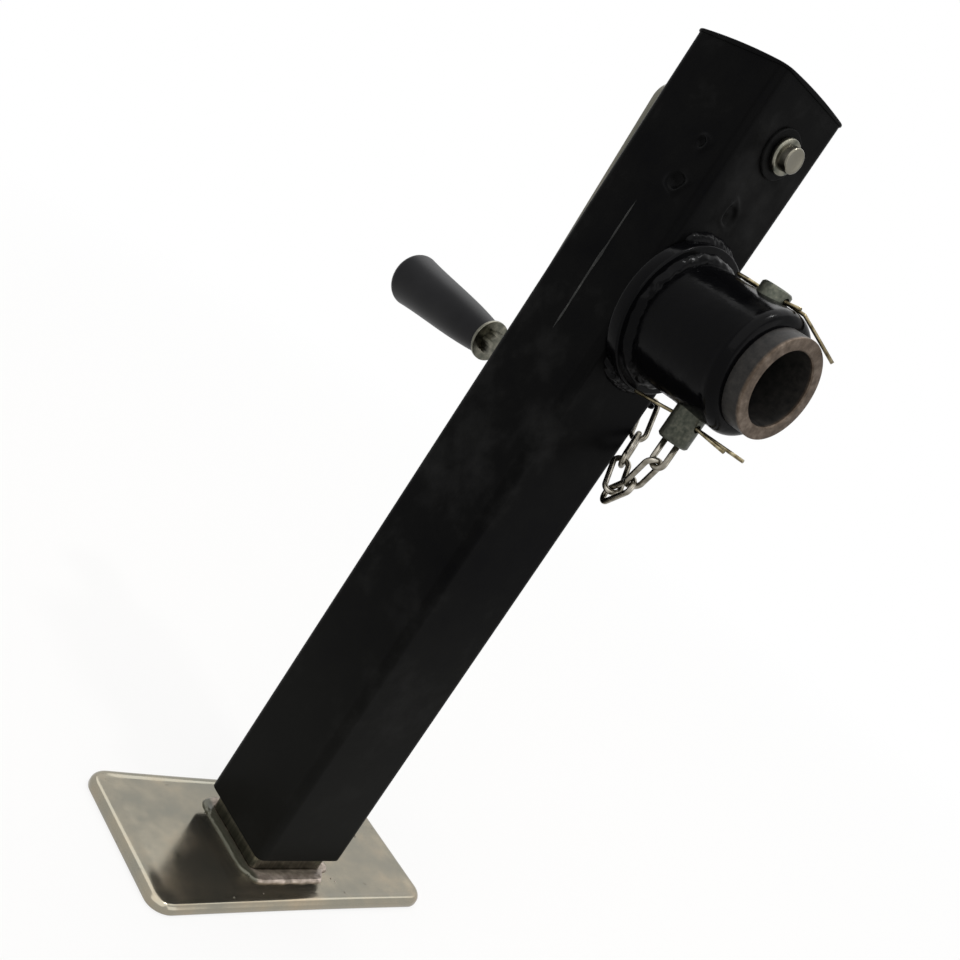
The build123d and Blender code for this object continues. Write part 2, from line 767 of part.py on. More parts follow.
def chain_places():
    """Near bow, direction and side of each link, then the centre of the anchor's bow.

    Each link hangs in the far bow of the one before, but for the third. It has slipped along a
    side bar of the second link, so the second hangs loose.
    """
    way = Vector(0, 0, -1)
    normal = Vector(0, 1, 0)
    bow = Vector(pin_x, 0, pin_bottom - eye_drop + link_radius)
    places = []
    for heading, dip, roll in zip(chain_headings, chain_dips, chain_rolls):
        next_way = direction(heading, dip)
        level = Vector(0, 0, 1).cross(next_way).normalized()
        side = level * cos(radians(roll)) + next_way.cross(level) * sin(radians(roll))
        if len(places) == 2:
            pull = (next_way - way * next_way.dot(way)).normalized()
            touch = bow + way * (slip_share - 1) * link_straight + places[-1][2] * link_radius
        else:
            pull = (way + next_way).normalized()
            touch = bow + bow_reach(pull, normal)
        way = next_way
        normal = way.cross(side)
        bow = hooked(touch, pull, normal)
        places.append((bow, way, side))
        bow = bow + way * link_straight
    pull = (way + Vector(0, -1, 0)).normalized()
    return places, hooked(bow + bow_reach(pull, normal), pull, Vector(0, 0, 1))


def chain_link(bow, way, side):
    """One welded link: a round wire bent into a slot shape."""
    half = link_straight / 2
    plane = Plane(origin=bow + way * half, x_dir=way, z_dir=way.cross(side))
    run = Line((-half, link_radius), (half, link_radius))
    cap = RadiusArc((half, link_radius), (half, -link_radius), link_radius)
    back = Line((half, -link_radius), (-half, -link_radius))
    end = RadiusArc((-half, -link_radius), (-half, link_radius), link_radius)
    path = plane * Wire([run, cap, back, end])
    section = Plane(origin=path @ 0, z_dir=path % 0) * Circle(chain_wire / 2)
    return sweep(section, path=path)


def u_bar(near, far, bow_middle):
    """A round wire bent to a U: two straight arms that end at near and far, and a bow."""
    bow = ThreePointArc(near[1], bow_middle, far[1])
    path = Wire([Line(near[0], near[1]), bow, Line(far[1], far[0])])
    return sweep(Plane(origin=path @ 0, z_dir=path % 0) * Circle(chain_wire / 2), path=path)


def chain_eye():
    """The U-shaped wire welded to the lower end of the lock pin."""
    bottom = pin_bottom - eye_drop
    left = pin_x - link_radius
    right = pin_x + link_radius
    return u_bar(
        [(left, 0, pin_bottom), (left, 0, bottom + link_radius)],
        [(right, 0, pin_bottom), (right, 0, bottom + link_radius)],
        (pin_x, 0, bottom),
    )


def chain_anchor():
    """The U-shaped wire welded to the tube's rear face, which holds the chain's last link."""
    _, bow = chain_places()
    left = bow.X - link_radius
    right = bow.X + link_radius
    return u_bar(
        [(left, tube_face, bow.Z), (left, bow.Y, bow.Z)],
        [(right, tube_face, bow.Z), (right, bow.Y, bow.Z)],
        (bow.X, bow.Y + link_radius, bow.Z),
    )


os.makedirs("parts", exist_ok=True)

nodes = {
    "foot_plate": foot_plate(),
    "foot_weld": foot_weld(),
    "inner_leg": inner_leg(),
    "lead_nut": lead_nut(),
    "outer_tube": outer_tube(),
    "top_cap": top_cap(),
    "bearing_plate": bearing_plate(),
    "plate_welds": plate_welds(),
    "upper_race": race(plate_bottom - race_thickness, False),
    "lower_race": race(collar_top, True),
    "thrust_balls": thrust_balls(),
    "ball_cage": ball_cage(),
    "lead_screw": lead_screw(),
    "screw_stop": screw_stop(),
    "stop_pin": cross_pin(stop_pin_diameter, stop_pin_level(), stop_diameter - 2),
    "driven_gear": driven_gear(),
    "driven_gear_pin": cross_pin(driven_pin_diameter, driven_pin_level(), driven_hub_diameter - 1),
    "pinion_gear": pinion_gear(),
    "pinion_pin": pinion_pin(),
    "crank_shaft": crank_shaft(),
    "shaft_bush_mount_side": shaft_bush(1),
    "shaft_bush_crank_side": shaft_bush(-1),
    "shaft_washer": shaft_washer(),
    "arm_spacer": arm_spacer(),
    "crank_arm": crank_arm(),
    "arm_weld": arm_weld(),
    "grip_bolt": grip_bolt(),
    "grip_nut": grip_nut(),
    "grip_washer": grip_washer(),
    "crank_grip": crank_grip(),
    "mount_flange": mount_flange(),
    "mount_sleeve": mount_sleeve(),
    "sleeve_weld": sleeve_weld(),
    "flange_weld": flange_weld(),
    "swivel_stub": swivel_stub(),
    "lock_pin": lock_pin(),
    "lower_split_pin": lower_split_pin(),
    "upper_split_pin": upper_split_pin(),
    "chain_eye": chain_eye(),
    "chain_anchor": chain_anchor(),
}
for number, (bow, way, side) in enumerate(chain_places()[0], 1):
    nodes[f"chain_link_{number}"] = chain_link(bow, way, side)

for name, shape in nodes.items():
    solid = Compound(children=list(shape)) if isinstance(shape, (list, tuple)) else shape
    export_step(solid, f"parts/{name}.step")
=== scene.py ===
import json
import math

import bmesh
import bpy
import numpy as np
from mathutils import Matrix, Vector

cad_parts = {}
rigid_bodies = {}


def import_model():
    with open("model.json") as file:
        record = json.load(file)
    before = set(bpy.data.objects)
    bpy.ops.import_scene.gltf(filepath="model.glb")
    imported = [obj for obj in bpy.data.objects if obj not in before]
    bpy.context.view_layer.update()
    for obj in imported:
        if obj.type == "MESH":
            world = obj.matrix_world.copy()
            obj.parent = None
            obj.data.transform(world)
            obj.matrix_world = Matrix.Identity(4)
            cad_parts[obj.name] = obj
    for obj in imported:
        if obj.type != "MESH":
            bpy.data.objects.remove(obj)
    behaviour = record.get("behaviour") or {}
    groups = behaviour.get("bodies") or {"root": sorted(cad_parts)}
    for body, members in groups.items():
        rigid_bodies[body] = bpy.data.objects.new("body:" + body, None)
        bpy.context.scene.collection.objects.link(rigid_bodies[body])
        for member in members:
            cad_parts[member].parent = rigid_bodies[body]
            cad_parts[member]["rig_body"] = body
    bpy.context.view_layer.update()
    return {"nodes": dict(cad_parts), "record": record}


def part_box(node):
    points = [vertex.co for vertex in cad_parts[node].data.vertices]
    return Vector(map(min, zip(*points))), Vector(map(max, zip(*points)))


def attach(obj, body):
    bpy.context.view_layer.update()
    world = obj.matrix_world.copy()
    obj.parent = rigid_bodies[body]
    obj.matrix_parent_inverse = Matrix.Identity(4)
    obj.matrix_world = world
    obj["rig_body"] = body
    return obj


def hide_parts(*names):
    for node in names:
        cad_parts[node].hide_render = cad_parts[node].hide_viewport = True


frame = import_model()


# Foot plate: a flat steel pad whose edges are rolled over in the press. The long edges bow in a
# little, and the thin bright zinc mirrors whatever stands on it.
PLATE_LENGTH = 189.0
PLATE_WIDTH = 99.4
PLATE_THICKNESS = 6.0
PLATE_CORNER = 12.0
PLATE_ROLL = 3.2
PLATE_HOLLOW = 0.3
BOW_MOUNT_SIDE = 0.6
BOW_CRANK_SIDE = 1.5
SOLE_EDGE = 1.2
SOLE_MIDDLE = 0.35


def linear(code):
    """Turns an sRGB hex colour to linear red, green and blue."""
    value = np.array([int(code[start:start + 2], 16) for start in (1, 3, 5)]) / 255
    value = np.where(value <= 0.04045, value / 12.92, ((value + 0.055) / 1.055) ** 2.4)
    return (*value.tolist(), 1.0)


def add_node(tree, kind, values=None, links=None, stops=(), **settings):
    """Adds a node with its properties, its sockets' constants and sources, and its ramp's stops."""
    made = tree.nodes.new(kind)
    for key, value in settings.items():
        setattr(made, key, value)
    for key, value in (values or {}).items():
        made.inputs[key].default_value = value
    for key, source in (links or {}).items():
        tree.links.new(source, made.inputs[key])
    for index, (position, code) in enumerate(stops):
        ramp = made.color_ramp.elements
        stop = ramp[index] if index < len(ramp) else ramp.new(position)
        stop.position, stop.color = position, linear(code)
    return made


def start_material(name, colour, **sockets):
    """A material with one principled shader and the object's own coordinates, in metres."""
    material = bpy.data.materials.new(name)
    material.use_nodes = True
    tree = material.node_tree
    tree.nodes.clear()
    shader = add_node(tree, "ShaderNodeBsdfPrincipled", {"Base Color": linear(colour), **sockets})
    add_node(tree, "ShaderNodeOutputMaterial", links={"Surface": shader.outputs["BSDF"]})
    place = add_node(tree, "ShaderNodeTexCoord").outputs["Object"]
    return material, tree, shader, place


def rounded_outline(half_x, half_y, corner, flat_steps, corner_steps):
    """Points and outward directions round a rounded rectangle.

    Each corner is a quarter circle, and straight runs join the end of one to the start of the next.
    """
    turn = np.linspace(0, np.pi / 2, corner_steps + 1)
    blend = np.linspace(0, 1, flat_steps + 1)[1:-1, None]
    arcs, ways = [], []
    for quarter in range(4):
        angle = turn + quarter * np.pi / 2
        way = np.stack([np.cos(angle), np.sin(angle)], -1)
        sign = np.sign(way[corner_steps // 2])
        arcs.append(sign * [half_x - corner, half_y - corner] + corner * way)
        ways.append(way)
    points, outwards = [], []
    for quarter in range(4):
        here, there = arcs[quarter][-1], arcs[(quarter + 1) % 4][0]
        points += [arcs[quarter], here + (there - here) * blend]
        outwards += [ways[quarter], np.repeat(ways[quarter][-1:], flat_steps - 1, 0)]
    return np.concatenate(points), np.concatenate(outwards)


def with_height(outline, height):
    """Sets a flat outline at one height or at one height for each point."""
    return np.concatenate([outline, np.broadcast_to(height, outline.shape[:1])[:, None]], -1)


def ripple(points, size, seed):
    """Smooth unevenness from -1 to 1: the mean of six sine waves of about the given size in mm."""
    random = np.random.default_rng(seed)
    ways = random.normal(size=(6, 3))
    ways *= 2 * np.pi / size / np.linalg.norm(ways, axis=1, keepdims=True)
    phases = random.uniform(0, 2 * np.pi, 6)
    return np.sin(points @ ways.T + phases).mean(-1) * 1.6


def grid_mesh(name, grids, wrap_rows):
    """One mesh from grids of points in mm, each rows x columns x 3 with its columns closed round.

    Quads join neighbouring points, and the last row joins the first where the rows wrap.
    """
    vertices, faces, start = [], [], 0
    for grid in grids:
        rows, columns = grid.shape[:2]
        row = np.arange(rows if wrap_rows else rows - 1)[:, None]
        column = np.arange(columns)[None, :]
        row_next, column_next = (row + 1) % rows, (column + 1) % columns
        quads = [row * columns + column, row * columns + column_next,
                 row_next * columns + column_next, row_next * columns + column]
        faces.append(np.stack(np.broadcast_arrays(*quads), -1).reshape(-1, 4) + start)
        vertices.append(grid.reshape(-1, 3) / 1000)
        start += rows * columns
    mesh = bpy.data.meshes.new(name)
    mesh.from_pydata(np.concatenate(vertices).tolist(), [], np.concatenate(faces).tolist())
    return mesh


def close_mesh(mesh):
    """Merges points that meet and turns the faces outwards."""
    work = bmesh.new()
    work.from_mesh(mesh)
    bmesh.ops.remove_doubles(work, verts=work.verts, dist=2e-6)
    bmesh.ops.dissolve_degenerate(work, edges=work.edges, dist=1e-6)
    bmesh.ops.recalc_face_normals(work, faces=work.faces)
    work.to_mesh(mesh)
    work.free()


def finish_piece(name, mesh, material, body, slot, *nodes, sharp=35):
    """Closes the mesh, shades it smooth up to an angle and mounts it in the place of the nodes."""
    close_mesh(mesh)
    mesh.polygons.foreach_set("use_smooth", np.ones(len(mesh.polygons), bool))
    mesh.set_sharp_from_angle(angle=math.radians(sharp))
    mesh.materials.clear()
    mesh.materials.append(material)
    piece = bpy.data.objects.new(name, mesh)
    bpy.context.scene.collection.objects.link(piece)
    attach(piece, body)
    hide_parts(*nodes)
    return piece


def make_piece(name, grids, material, body, slot, *nodes, wrap_rows=False, sharp=35):
    """A finished piece whose mesh is made from grids of points in mm."""
    mesh = grid_mesh(name, grids, wrap_rows)
    return finish_piece(name, mesh, material, body, slot, *nodes, sharp=sharp)


bright_zinc, tree, shader, place = start_material(
    "bright_zinc_plating", "#9a917d", Metallic=0.9, Roughness=0.15)
# Drag lines of the rolling mill run along the plate, drawn 1.2 mm wide because the real ones are
# too fine to show. The plating is cloudy and flecked.
stretch = add_node(tree, "ShaderNodeMapping", {"Scale": (1.0, 0.04, 1.0)}, {"Vector": place})
lines = add_node(tree, "ShaderNodeTexNoise", {"Scale": 1 / 0.0012, "Detail": 3.0},
                 {"Vector": stretch.outputs["Vector"]})
haze = add_node(tree, "ShaderNodeTexNoise", {"Scale": 1 / 0.03, "Detail": 5.0, "Roughness": 0.6},
                {"Vector": place})
tint = add_node(tree, "ShaderNodeValToRGB", links={"Fac": haze.outputs["Fac"]},
                stops=((0.3, "#88867b"), (0.52, "#938d7e"), (0.72, "#9c907c")))
fleck = add_node(tree, "ShaderNodeTexNoise", {"Scale": 1 / 0.007, "Detail": 6.0, "Roughness": 0.7},
                 {"Vector": place})
stain = add_node(tree, "ShaderNodeValToRGB", links={"Fac": fleck.outputs["Fac"]},
                 stops=((0.66, "#ffffff"), (0.72, "#7c7060")))
stained = add_node(tree, "ShaderNodeMix", {"Factor": 1.0},
                   {6: tint.outputs["Color"], 7: stain.outputs["Color"]},
                   data_type="RGBA", blend_type="MULTIPLY")
tree.links.new(stained.outputs[2], shader.inputs["Base Color"])
rough = add_node(tree, "ShaderNodeMapRange",
                 {"From Min": 0.35, "From Max": 0.65, "To Min": 0.07, "To Max": 0.24},
                 {"Value": haze.outputs["Fac"]})
tree.links.new(rough.outputs["Result"], shader.inputs["Roughness"])
bump = add_node(tree, "ShaderNodeBump", {"Strength": 0.1, "Distance": 0.0001},
                {"Height": lines.outputs["Fac"]})
tree.links.new(bump.outputs["Normal"], shader.inputs["Normal"])

outline, outward = rounded_outline(PLATE_WIDTH / 2, PLATE_LENGTH / 2, PLATE_CORNER, 80, 14)
bow = 1 - (outline[:, 1] * 2 / PLATE_LENGTH) ** 2
reach = (outline[:, 0] * 2 / PLATE_WIDTH) ** 3
outline[:, 0] -= bow * np.where(reach > 0, BOW_MOUNT_SIDE, BOW_CRANK_SIDE) * reach
roll = np.linspace(0, np.pi / 2, 9)
edge_in = PLATE_ROLL * (1 - np.cos(roll))
edge_up = PLATE_THICKNESS - PLATE_ROLL * (1 - np.sin(roll))
rings = [with_height(outline * share, 0.0) for share in (0.001, 0.35, 0.7)]
rings += [with_height(outline - outward * SOLE_EDGE, 0.0)]
rings += [with_height(outline - outward * SOLE_MIDDLE, SOLE_MIDDLE)]
rings += [with_height(outline, SOLE_EDGE)]
rings += [with_height(outline - outward * inset, level) for inset, level in zip(edge_in, edge_up)]
inner = outline - outward * (PLATE_ROLL + 1.0)
# Pressing leaves the pad a little hollow inside its rolled edge, and wavy on two scales.
for share in np.linspace(0, 0.999, 60):
    flat = with_height(inner * (1 - share), PLATE_THICKNESS)
    sink = PLATE_HOLLOW * np.clip(share / 0.06, 0, 1) * (1 - 0.8 * np.clip(share / 0.5, 0, 1))
    wave = 0.06 * ripple(flat, 70, 3) + 0.012 * ripple(flat, 15, 8)
    flat[:, 2] -= sink - wave * min(1, share * 8)
    rings.append(flat)
make_piece("foot_plate_pressed", [np.stack(rings)], bright_zinc, "leg", "zinc_plate", "foot_plate")


# Foot weld: the flat, wide fillet round the foot of the leg, plated with the plate. Its front
# stretch is a fat double pass that stops short of the corner, and spatter lies beside it.
WELD_LEG = 5.0
LEG_SIDE = 50.0
LEG_CORNER = 4.0
FRONT_REACH = 10.0
SIDE_REACH = 7.6
BACK_REACH = 5.5
FRONT_HEIGHT = 2.1
SIDE_HEIGHT = 1.4
FRONT_STOP = 22.5
PASS_MIDDLE = 0.8

weld_zinc, tree, shader, place = start_material(
    "plated_weld_bead", "#988b7f", Metallic=0.5, Roughness=0.3)
# Zinc takes unevenly on the scale of a weld, so it is blotched every 5 mm or so.
grain = add_node(tree, "ShaderNodeTexNoise", {"Scale": 1 / 0.005, "Detail": 6.0}, {"Vector": place})
tint = add_node(tree, "ShaderNodeValToRGB", links={"Fac": grain.outputs["Fac"]},
                stops=((0.3, "#71685e"), (0.5, "#9b8e82"), (0.7, "#c6b8ac")))
# The side stretch is painted darker and greenish, as painted shade on that side.
parts = add_node(tree, "ShaderNodeSeparateXYZ", links={"Vector": place})
side_shade = add_node(tree, "ShaderNodeMapRange", {"From Min": -0.0265, "From Max": -0.0235},
                {"Value": parts.outputs["Y"]})
mixed = add_node(tree, "ShaderNodeMix", {6: linear("#525145")},
                 {"Factor": side_shade.outputs["Result"], 7: tint.outputs["Color"]}, data_type="RGBA")
tree.links.new(mixed.outputs[2], shader.inputs["Base Color"])
bump = add_node(tree, "ShaderNodeBump", {"Strength": 0.25, "Distance": 0.0003},
                {"Height": grain.outputs["Fac"]})
tree.links.new(bump.outputs["Normal"], shader.inputs["Normal"])

outline, outward = rounded_outline(LEG_SIDE / 2, LEG_SIDE / 2, LEG_CORNER, 140, 30)
across, along = outline.T
front = across > LEG_SIDE / 2 - 1
side = along < 1 - LEG_SIDE / 2
front_width = FRONT_REACH * np.sqrt(np.clip((FRONT_STOP - along) / 3.0, 0.06, 1))
front_height = FRONT_HEIGHT * np.sqrt(np.clip((FRONT_STOP + 1 - along) / 3.0, 0.2, 1))
width = np.where(front, front_width, np.where(side, SIDE_REACH, BACK_REACH))
height = np.where(front, front_height, SIDE_HEIGHT)
for _ in range(6):
    width = (np.roll(width, 2) + width + np.roll(width, -2)) / 3
    height = (np.roll(height, 2) + height + np.roll(height, -2)) / 3
# A burnt spot on the side stretch is rough, and a groove parts the two passes of the front one.
burnt = np.exp(-(((across + 16) / 7) ** 2)) * side
rows = []
for tilt in np.linspace(0, np.pi / 2, 24):
    around = with_height(outline, tilt * 6)
    groove = 0.3 * np.exp(-(((tilt - PASS_MIDDLE) / 0.2) ** 2)) * (front & (along < 19))
    lumps = 0.22 * ripple(around, 11, 5) + 0.08 * ripple(around, 4, 6)
    lumps += 0.35 * burnt * ripple(around, 2.4, 7)
    reach = width * np.cos(tilt) ** 0.8 + lumps * np.cos(tilt)
    crest = 0.3 * np.sin(tilt) + 0.8 * np.sin(2 * tilt)
    rise = np.clip(height * crest - groove + 0.5 * lumps * np.sin(2 * tilt), -0.1, WELD_LEG)
    spread = outline + outward * (reach - 0.1)[:, None]
    rows.append(with_height(spread, PLATE_THICKNESS - 0.3 + rise))
rows.append(with_height(outline - outward * 0.4, PLATE_THICKNESS - 0.8))
make_piece("foot_weld_bead", [np.stack(rows)], weld_zinc, "leg", "zinc_plate", "foot_weld",
           wrap_rows=True, sharp=70)

random = np.random.default_rng(12)
spatter = []
angle = np.linspace(0, 2 * np.pi, 10, endpoint=False)
circle = np.stack([np.cos(angle), np.sin(angle)], -1)
sunk = PLATE_THICKNESS - 0.25
for spot in [(41.7, -25.3), (44.1, -46.0), (-18.0, -33.5), *random.uniform(-40, 40, (26, 2))]:
    if max(abs(spot[0]), abs(spot[1])) < 30:
        continue
    ball = random.uniform(0.25, 0.6)
    dome = [(0.001, PLATE_THICKNESS - 0.8), (ball, PLATE_THICKNESS - 0.7)]
    dome += [(ball * np.cos(tilt), sunk + ball * np.sin(tilt)) for tilt in (0, 0.5, 1.0, 1.45)]
    spatter.append(np.stack([with_height(circle * radius + spot, level) for radius, level in dome]))
make_piece("weld_spatter", spatter, weld_zinc, "leg", "zinc_plate", sharp=70)


# Inner leg: cold-drawn square tube, zinc plated, which slides out of the outer tube. Sliding
# rubs bright lines along it, and grease darkens it.
LEG_WALL = 3.0
LEG_EDGE = 0.4
LEG_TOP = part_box("inner_leg")[1].z * 1000

leg_zinc, tree, shader, place = start_material(
    "plated_drawn_tube", "#57554c", Metallic=1.0, Roughness=0.22)
# The rubbed lines are drawn 1.5 mm apart so that they show.
stretch = add_node(tree, "ShaderNodeMapping", {"Scale": (1.0, 1.0, 0.02)}, {"Vector": place})
rub = add_node(tree, "ShaderNodeTexNoise", {"Scale": 1 / 0.0015, "Detail": 4.0},
               {"Vector": stretch.outputs["Vector"]})
tint = add_node(tree, "ShaderNodeValToRGB", links={"Fac": rub.outputs["Fac"]},
                stops=((0.32, "#56564e"), (0.55, "#6a685e"), (0.7, "#7e7b6f")))
tree.links.new(tint.outputs["Color"], shader.inputs["Base Color"])
rough = add_node(tree, "ShaderNodeMapRange", {"To Min": 0.12, "To Max": 0.34},
                 {"Value": rub.outputs["Fac"]})
tree.links.new(rough.outputs["Result"], shader.inputs["Roughness"])

outline, outward = rounded_outline(LEG_SIDE / 2, LEG_SIDE / 2, LEG_CORNER, 6, 10)
profile = [(0, PLATE_THICKNESS), (0, LEG_TOP - LEG_EDGE), (LEG_EDGE, LEG_TOP),
           (LEG_WALL - LEG_EDGE, LEG_TOP), (LEG_WALL, LEG_TOP - LEG_EDGE), (LEG_WALL, PLATE_THICKNESS)]
rings = [with_height(outline - outward * inset, level) for inset, level in profile]
make_piece("inner_leg_tube", [np.stack(rings)], leg_zinc, "leg", "zinc_plate", "inner_leg",
           wrap_rows=True)


# Outer tube: welded square tube under black air-dried enamel. Plug welds through its walls hold
# the bearing plate, and each sank to a rough pan with a lip. A stake mark sits above the front one.
TUBE_SIDE = 60.0
TUBE_WALL = 4.0
TUBE_CORNER = 5.0
TUBE_EDGE = 0.6
TUBE_BOTTOM = 16.5
TUBE_TOP = 482.5
PLUG_LEVEL = 418.5
PLUG_RADIUS = 5.5
PAN_DEPTH = 1.6
LIP_HEIGHT = 1.0
STAKE_LEVEL = 438.5
STAKE_RADIUS = 3.4

black_enamel, tree, shader, place = start_material(
    "black_enamel", "#070707", Roughness=0.4, **{"Specular IOR Level": 0.025})
# Brushed-on enamel has an orange peel of about 2.5 mm and duller, dusty patches.
peel = add_node(tree, "ShaderNodeTexNoise", {"Scale": 1 / 0.0025, "Detail": 2.0}, {"Vector": place})
patch = add_node(tree, "ShaderNodeTexNoise", {"Scale": 1 / 0.05, "Detail": 6.0, "Roughness": 0.65},
                 {"Vector": place})
tint = add_node(tree, "ShaderNodeValToRGB", links={"Fac": patch.outputs["Fac"]},
                stops=((0.35, "#040405"), (0.52, "#080808"), (0.7, "#191919")))
# The paint turns paler towards the foot.
parts = add_node(tree, "ShaderNodeSeparateXYZ", links={"Vector": place})
low = add_node(tree, "ShaderNodeMapRange",
               {"From Min": 0.2, "From Max": 0.02, "To Min": 0.0, "To Max": 0.65},
               {"Value": parts.outputs["Z"]})
paler_towards_foot = add_node(tree, "ShaderNodeMix", {7: linear("#1b1b19")},
                 {"Factor": low.outputs["Result"], 6: tint.outputs["Color"]}, data_type="RGBA")
tree.links.new(paler_towards_foot.outputs[2], shader.inputs["Base Color"])
rough = add_node(tree, "ShaderNodeMapRange", {"To Min": 0.26, "To Max": 0.5},
                 {"Value": patch.outputs["Fac"]})
tree.links.new(rough.outputs["Result"], shader.inputs["Roughness"])
bump = add_node(tree, "ShaderNodeBump", {"Strength": 0.12, "Distance": 0.0003},
                {"Height": peel.outputs["Fac"]})
tree.links.new(bump.outputs["Normal"], shader.inputs["Normal"])

outline, outward = rounded_outline(TUBE_SIDE / 2, TUBE_SIDE / 2, TUBE_CORNER, 100, 8)
# Rings lie close together only where the dents are.
levels = np.concatenate([np.linspace(TUBE_BOTTOM + TUBE_EDGE, 404, 30), np.arange(404.5, 446, 0.5),
                         np.linspace(447, TUBE_TOP, 8)])
shell = np.stack([with_height(outline, level) for level in levels])
dent = np.zeros(shell.shape[:2])
# Each dent has its place, its radius and the direction in which its lip stands highest.
for x, y, level, size, lip_way in (
        (12.0, -30, PLUG_LEVEL, PLUG_RADIUS, -1.0), (30, -5.5, PLUG_LEVEL, PLUG_RADIUS, 3.0),
        (-12.0, 30, PLUG_LEVEL, PLUG_RADIUS, 0.3), (-30, 6.0, PLUG_LEVEL, PLUG_RADIUS, 1.2),
        (12.0, -30, STAKE_LEVEL, STAKE_RADIUS, 0.4)):
    offset = shell - [x, y, level]
    distance = np.linalg.norm(offset, axis=-1) * (1 + 0.28 * ripple(offset, 11, 4 + int(abs(x))))
    sideways = offset[..., 0] if abs(y) == TUBE_SIDE / 2 else offset[..., 1]
    bearing = np.arctan2(offset[..., 2], sideways)
    pan = (size / PLUG_RADIUS) * np.exp(-((distance / (0.74 * size)) ** 6))
    lip = np.exp(-(((distance - size - 0.4) / 1.5) ** 2)) * (0.5 + 0.5 * np.cos(bearing - lip_way))
    dent -= PAN_DEPTH * pan * (1 - 0.35 * ripple(offset, 5, 9)) - LIP_HEIGHT * lip
shell[..., :2] += outward[None] * dent[..., None]
bore_outline = outline - outward * TUBE_WALL
mouth = [with_height(bore_outline, TUBE_TOP), with_height(bore_outline, TUBE_BOTTOM + TUBE_EDGE)]
mouth += [with_height(outline - outward * inset, TUBE_BOTTOM)
          for inset in (TUBE_WALL - TUBE_EDGE, TUBE_EDGE)]
make_piece("outer_tube_painted", [np.concatenate([np.stack(mouth), shell])], black_enamel,
           "housing", "black_paint", "outer_tube", "plate_welds", wrap_rows=True)


# Scuff beside the mount: a long scrape down the tube's painted wall, which raised a burr of
# steel. The paint on it is rubbed to a paler grey.
SCUFF_LENGTH = 72.0
SCUFF_HALF_WIDTH = 0.75
SCUFF_MIDDLE = 365.0
SCUFF_X = -2.0

scuffed_enamel, tree, shader, place = start_material(
    "scuffed_enamel", "#2c2c2a", Roughness=0.5, **{"Specular IOR Level": 0.2})
wear = add_node(tree, "ShaderNodeTexNoise", {"Scale": 1 / 0.004, "Detail": 5.0}, {"Vector": place})
tint = add_node(tree, "ShaderNodeValToRGB", links={"Fac": wear.outputs["Fac"]},
                stops=((0.35, "#0d0d0d"), (0.55, "#212120"), (0.75, "#3b3b39")))
tree.links.new(tint.outputs["Color"], shader.inputs["Base Color"])

share = np.linspace(-1, 1, 160)[:, None]
station = np.concatenate([share * 0, share * 0, share * SCUFF_LENGTH / 2], 1)
unevenness = 1 + 0.5 * ripple(station, 9, 2)[:, None]
width = SCUFF_HALF_WIDTH * np.sqrt(np.clip(1 - share**2, 0, 1)) * unevenness
# Each ring is a flattened circle, half as deep as it is wide, and the rings wander a little.
angle = np.linspace(0, 2 * np.pi, 12, endpoint=False)
burr = np.stack([SCUFF_X + width * np.cos(angle) + 0.25 * ripple(station, 30, 6)[:, None],
                 -TUBE_SIDE / 2 - 0.5 * width * np.sin(angle),
                 SCUFF_MIDDLE + SCUFF_LENGTH / 2 * share * np.ones(len(angle))], -1)
make_piece("scuff_burr", [burr], scuffed_enamel, "housing", "black_paint", sharp=60)


# Top cap: a lid stamped from sheet steel, domed a little and overhanging the tube all round. It
# is tapped into the tube and painted with it.
CAP_OVERHANG = 0.7
CAP_EDGE = 1.2
CAP_DOME = 2.4

half = TUBE_SIDE / 2 + CAP_OVERHANG
outline, outward = rounded_outline(half, half, TUBE_CORNER + CAP_OVERHANG, 24, 10)
dome_radius = (2 * half**2 + CAP_DOME**2) / (2 * CAP_DOME)
dome_centre = TUBE_TOP + CAP_EDGE + CAP_DOME - dome_radius


def on_dome(flat, drop=0.0):
    """Lifts flat points onto the cap's sphere, less a drop in mm.

    The height above the sphere's centre is the root of its radius squared less the reach squared.
    """
    reach_squared = (flat**2).sum(-1)
    return with_height(flat, dome_centre + np.sqrt(dome_radius**2 - reach_squared) - drop)


rings = [with_height(outline * 0.001, TUBE_TOP), with_height(outline - outward * 0.3, TUBE_TOP)]
rings += [with_height(outline, TUBE_TOP + 0.3), on_dome(outline, 0.5)]
rings += [on_dome(outline - outward * inset, drop)
          for inset, drop in ((0.15, 0.22), (0.5, 0.03), (1.0, 0.0))]
rings += [on_dome((outline - outward) * (1 - share)) for share in np.linspace(0.04, 0.999, 24)]
make_piece("top_cap_domed", [np.stack(rings)], black_enamel, "housing", "black_paint", "top_cap")


# Bushes and cross shaft: black-painted bush flanges against the tube, a zinc-plated shaft
# whose sawn end stands out on the mount side, and a push-on washer that holds it. On the crank
# side a spacer tube sits on the shaft, and a weld joins its end to the arm.
SHAFT_LEVEL = 454.0
SHAFT_RADIUS = 6.35
SHAFT_END = 40.4
BUSH_FACE = 32.0
BUSH_RADIUS = 12.5
BUSH_FIT = 0.05
WASHER_START = 32.3
WASHER_END = 35.5
WASHER_RADIUS = 9.0
SPACER_END = -32.3
SPACER_RADIUS = 9.8
ARM_INNER = -42.4
ARM_OUTER = -48.4
ARM_WELD_LEG = 2.2


def turned(profile, centre, steps=72, axis="x"):
    """A profile of (along, radius) points turned about a line through the centre along one axis.

    Each ring is a circle: sideways times cosine plus upwards times sine, at its own station.
    """
    angle = np.linspace(0, 2 * np.pi, steps, endpoint=False)
    along, radius = np.asarray(profile, float).T
    stations = along[:, None] * np.ones(steps)
    flat, up = radius[:, None] * np.cos(angle), radius[:, None] * np.sin(angle)
    parts = (stations, flat, up) if axis == "x" else (flat, up, stations)
    return np.stack(parts, -1) + np.asarray(centre, float)


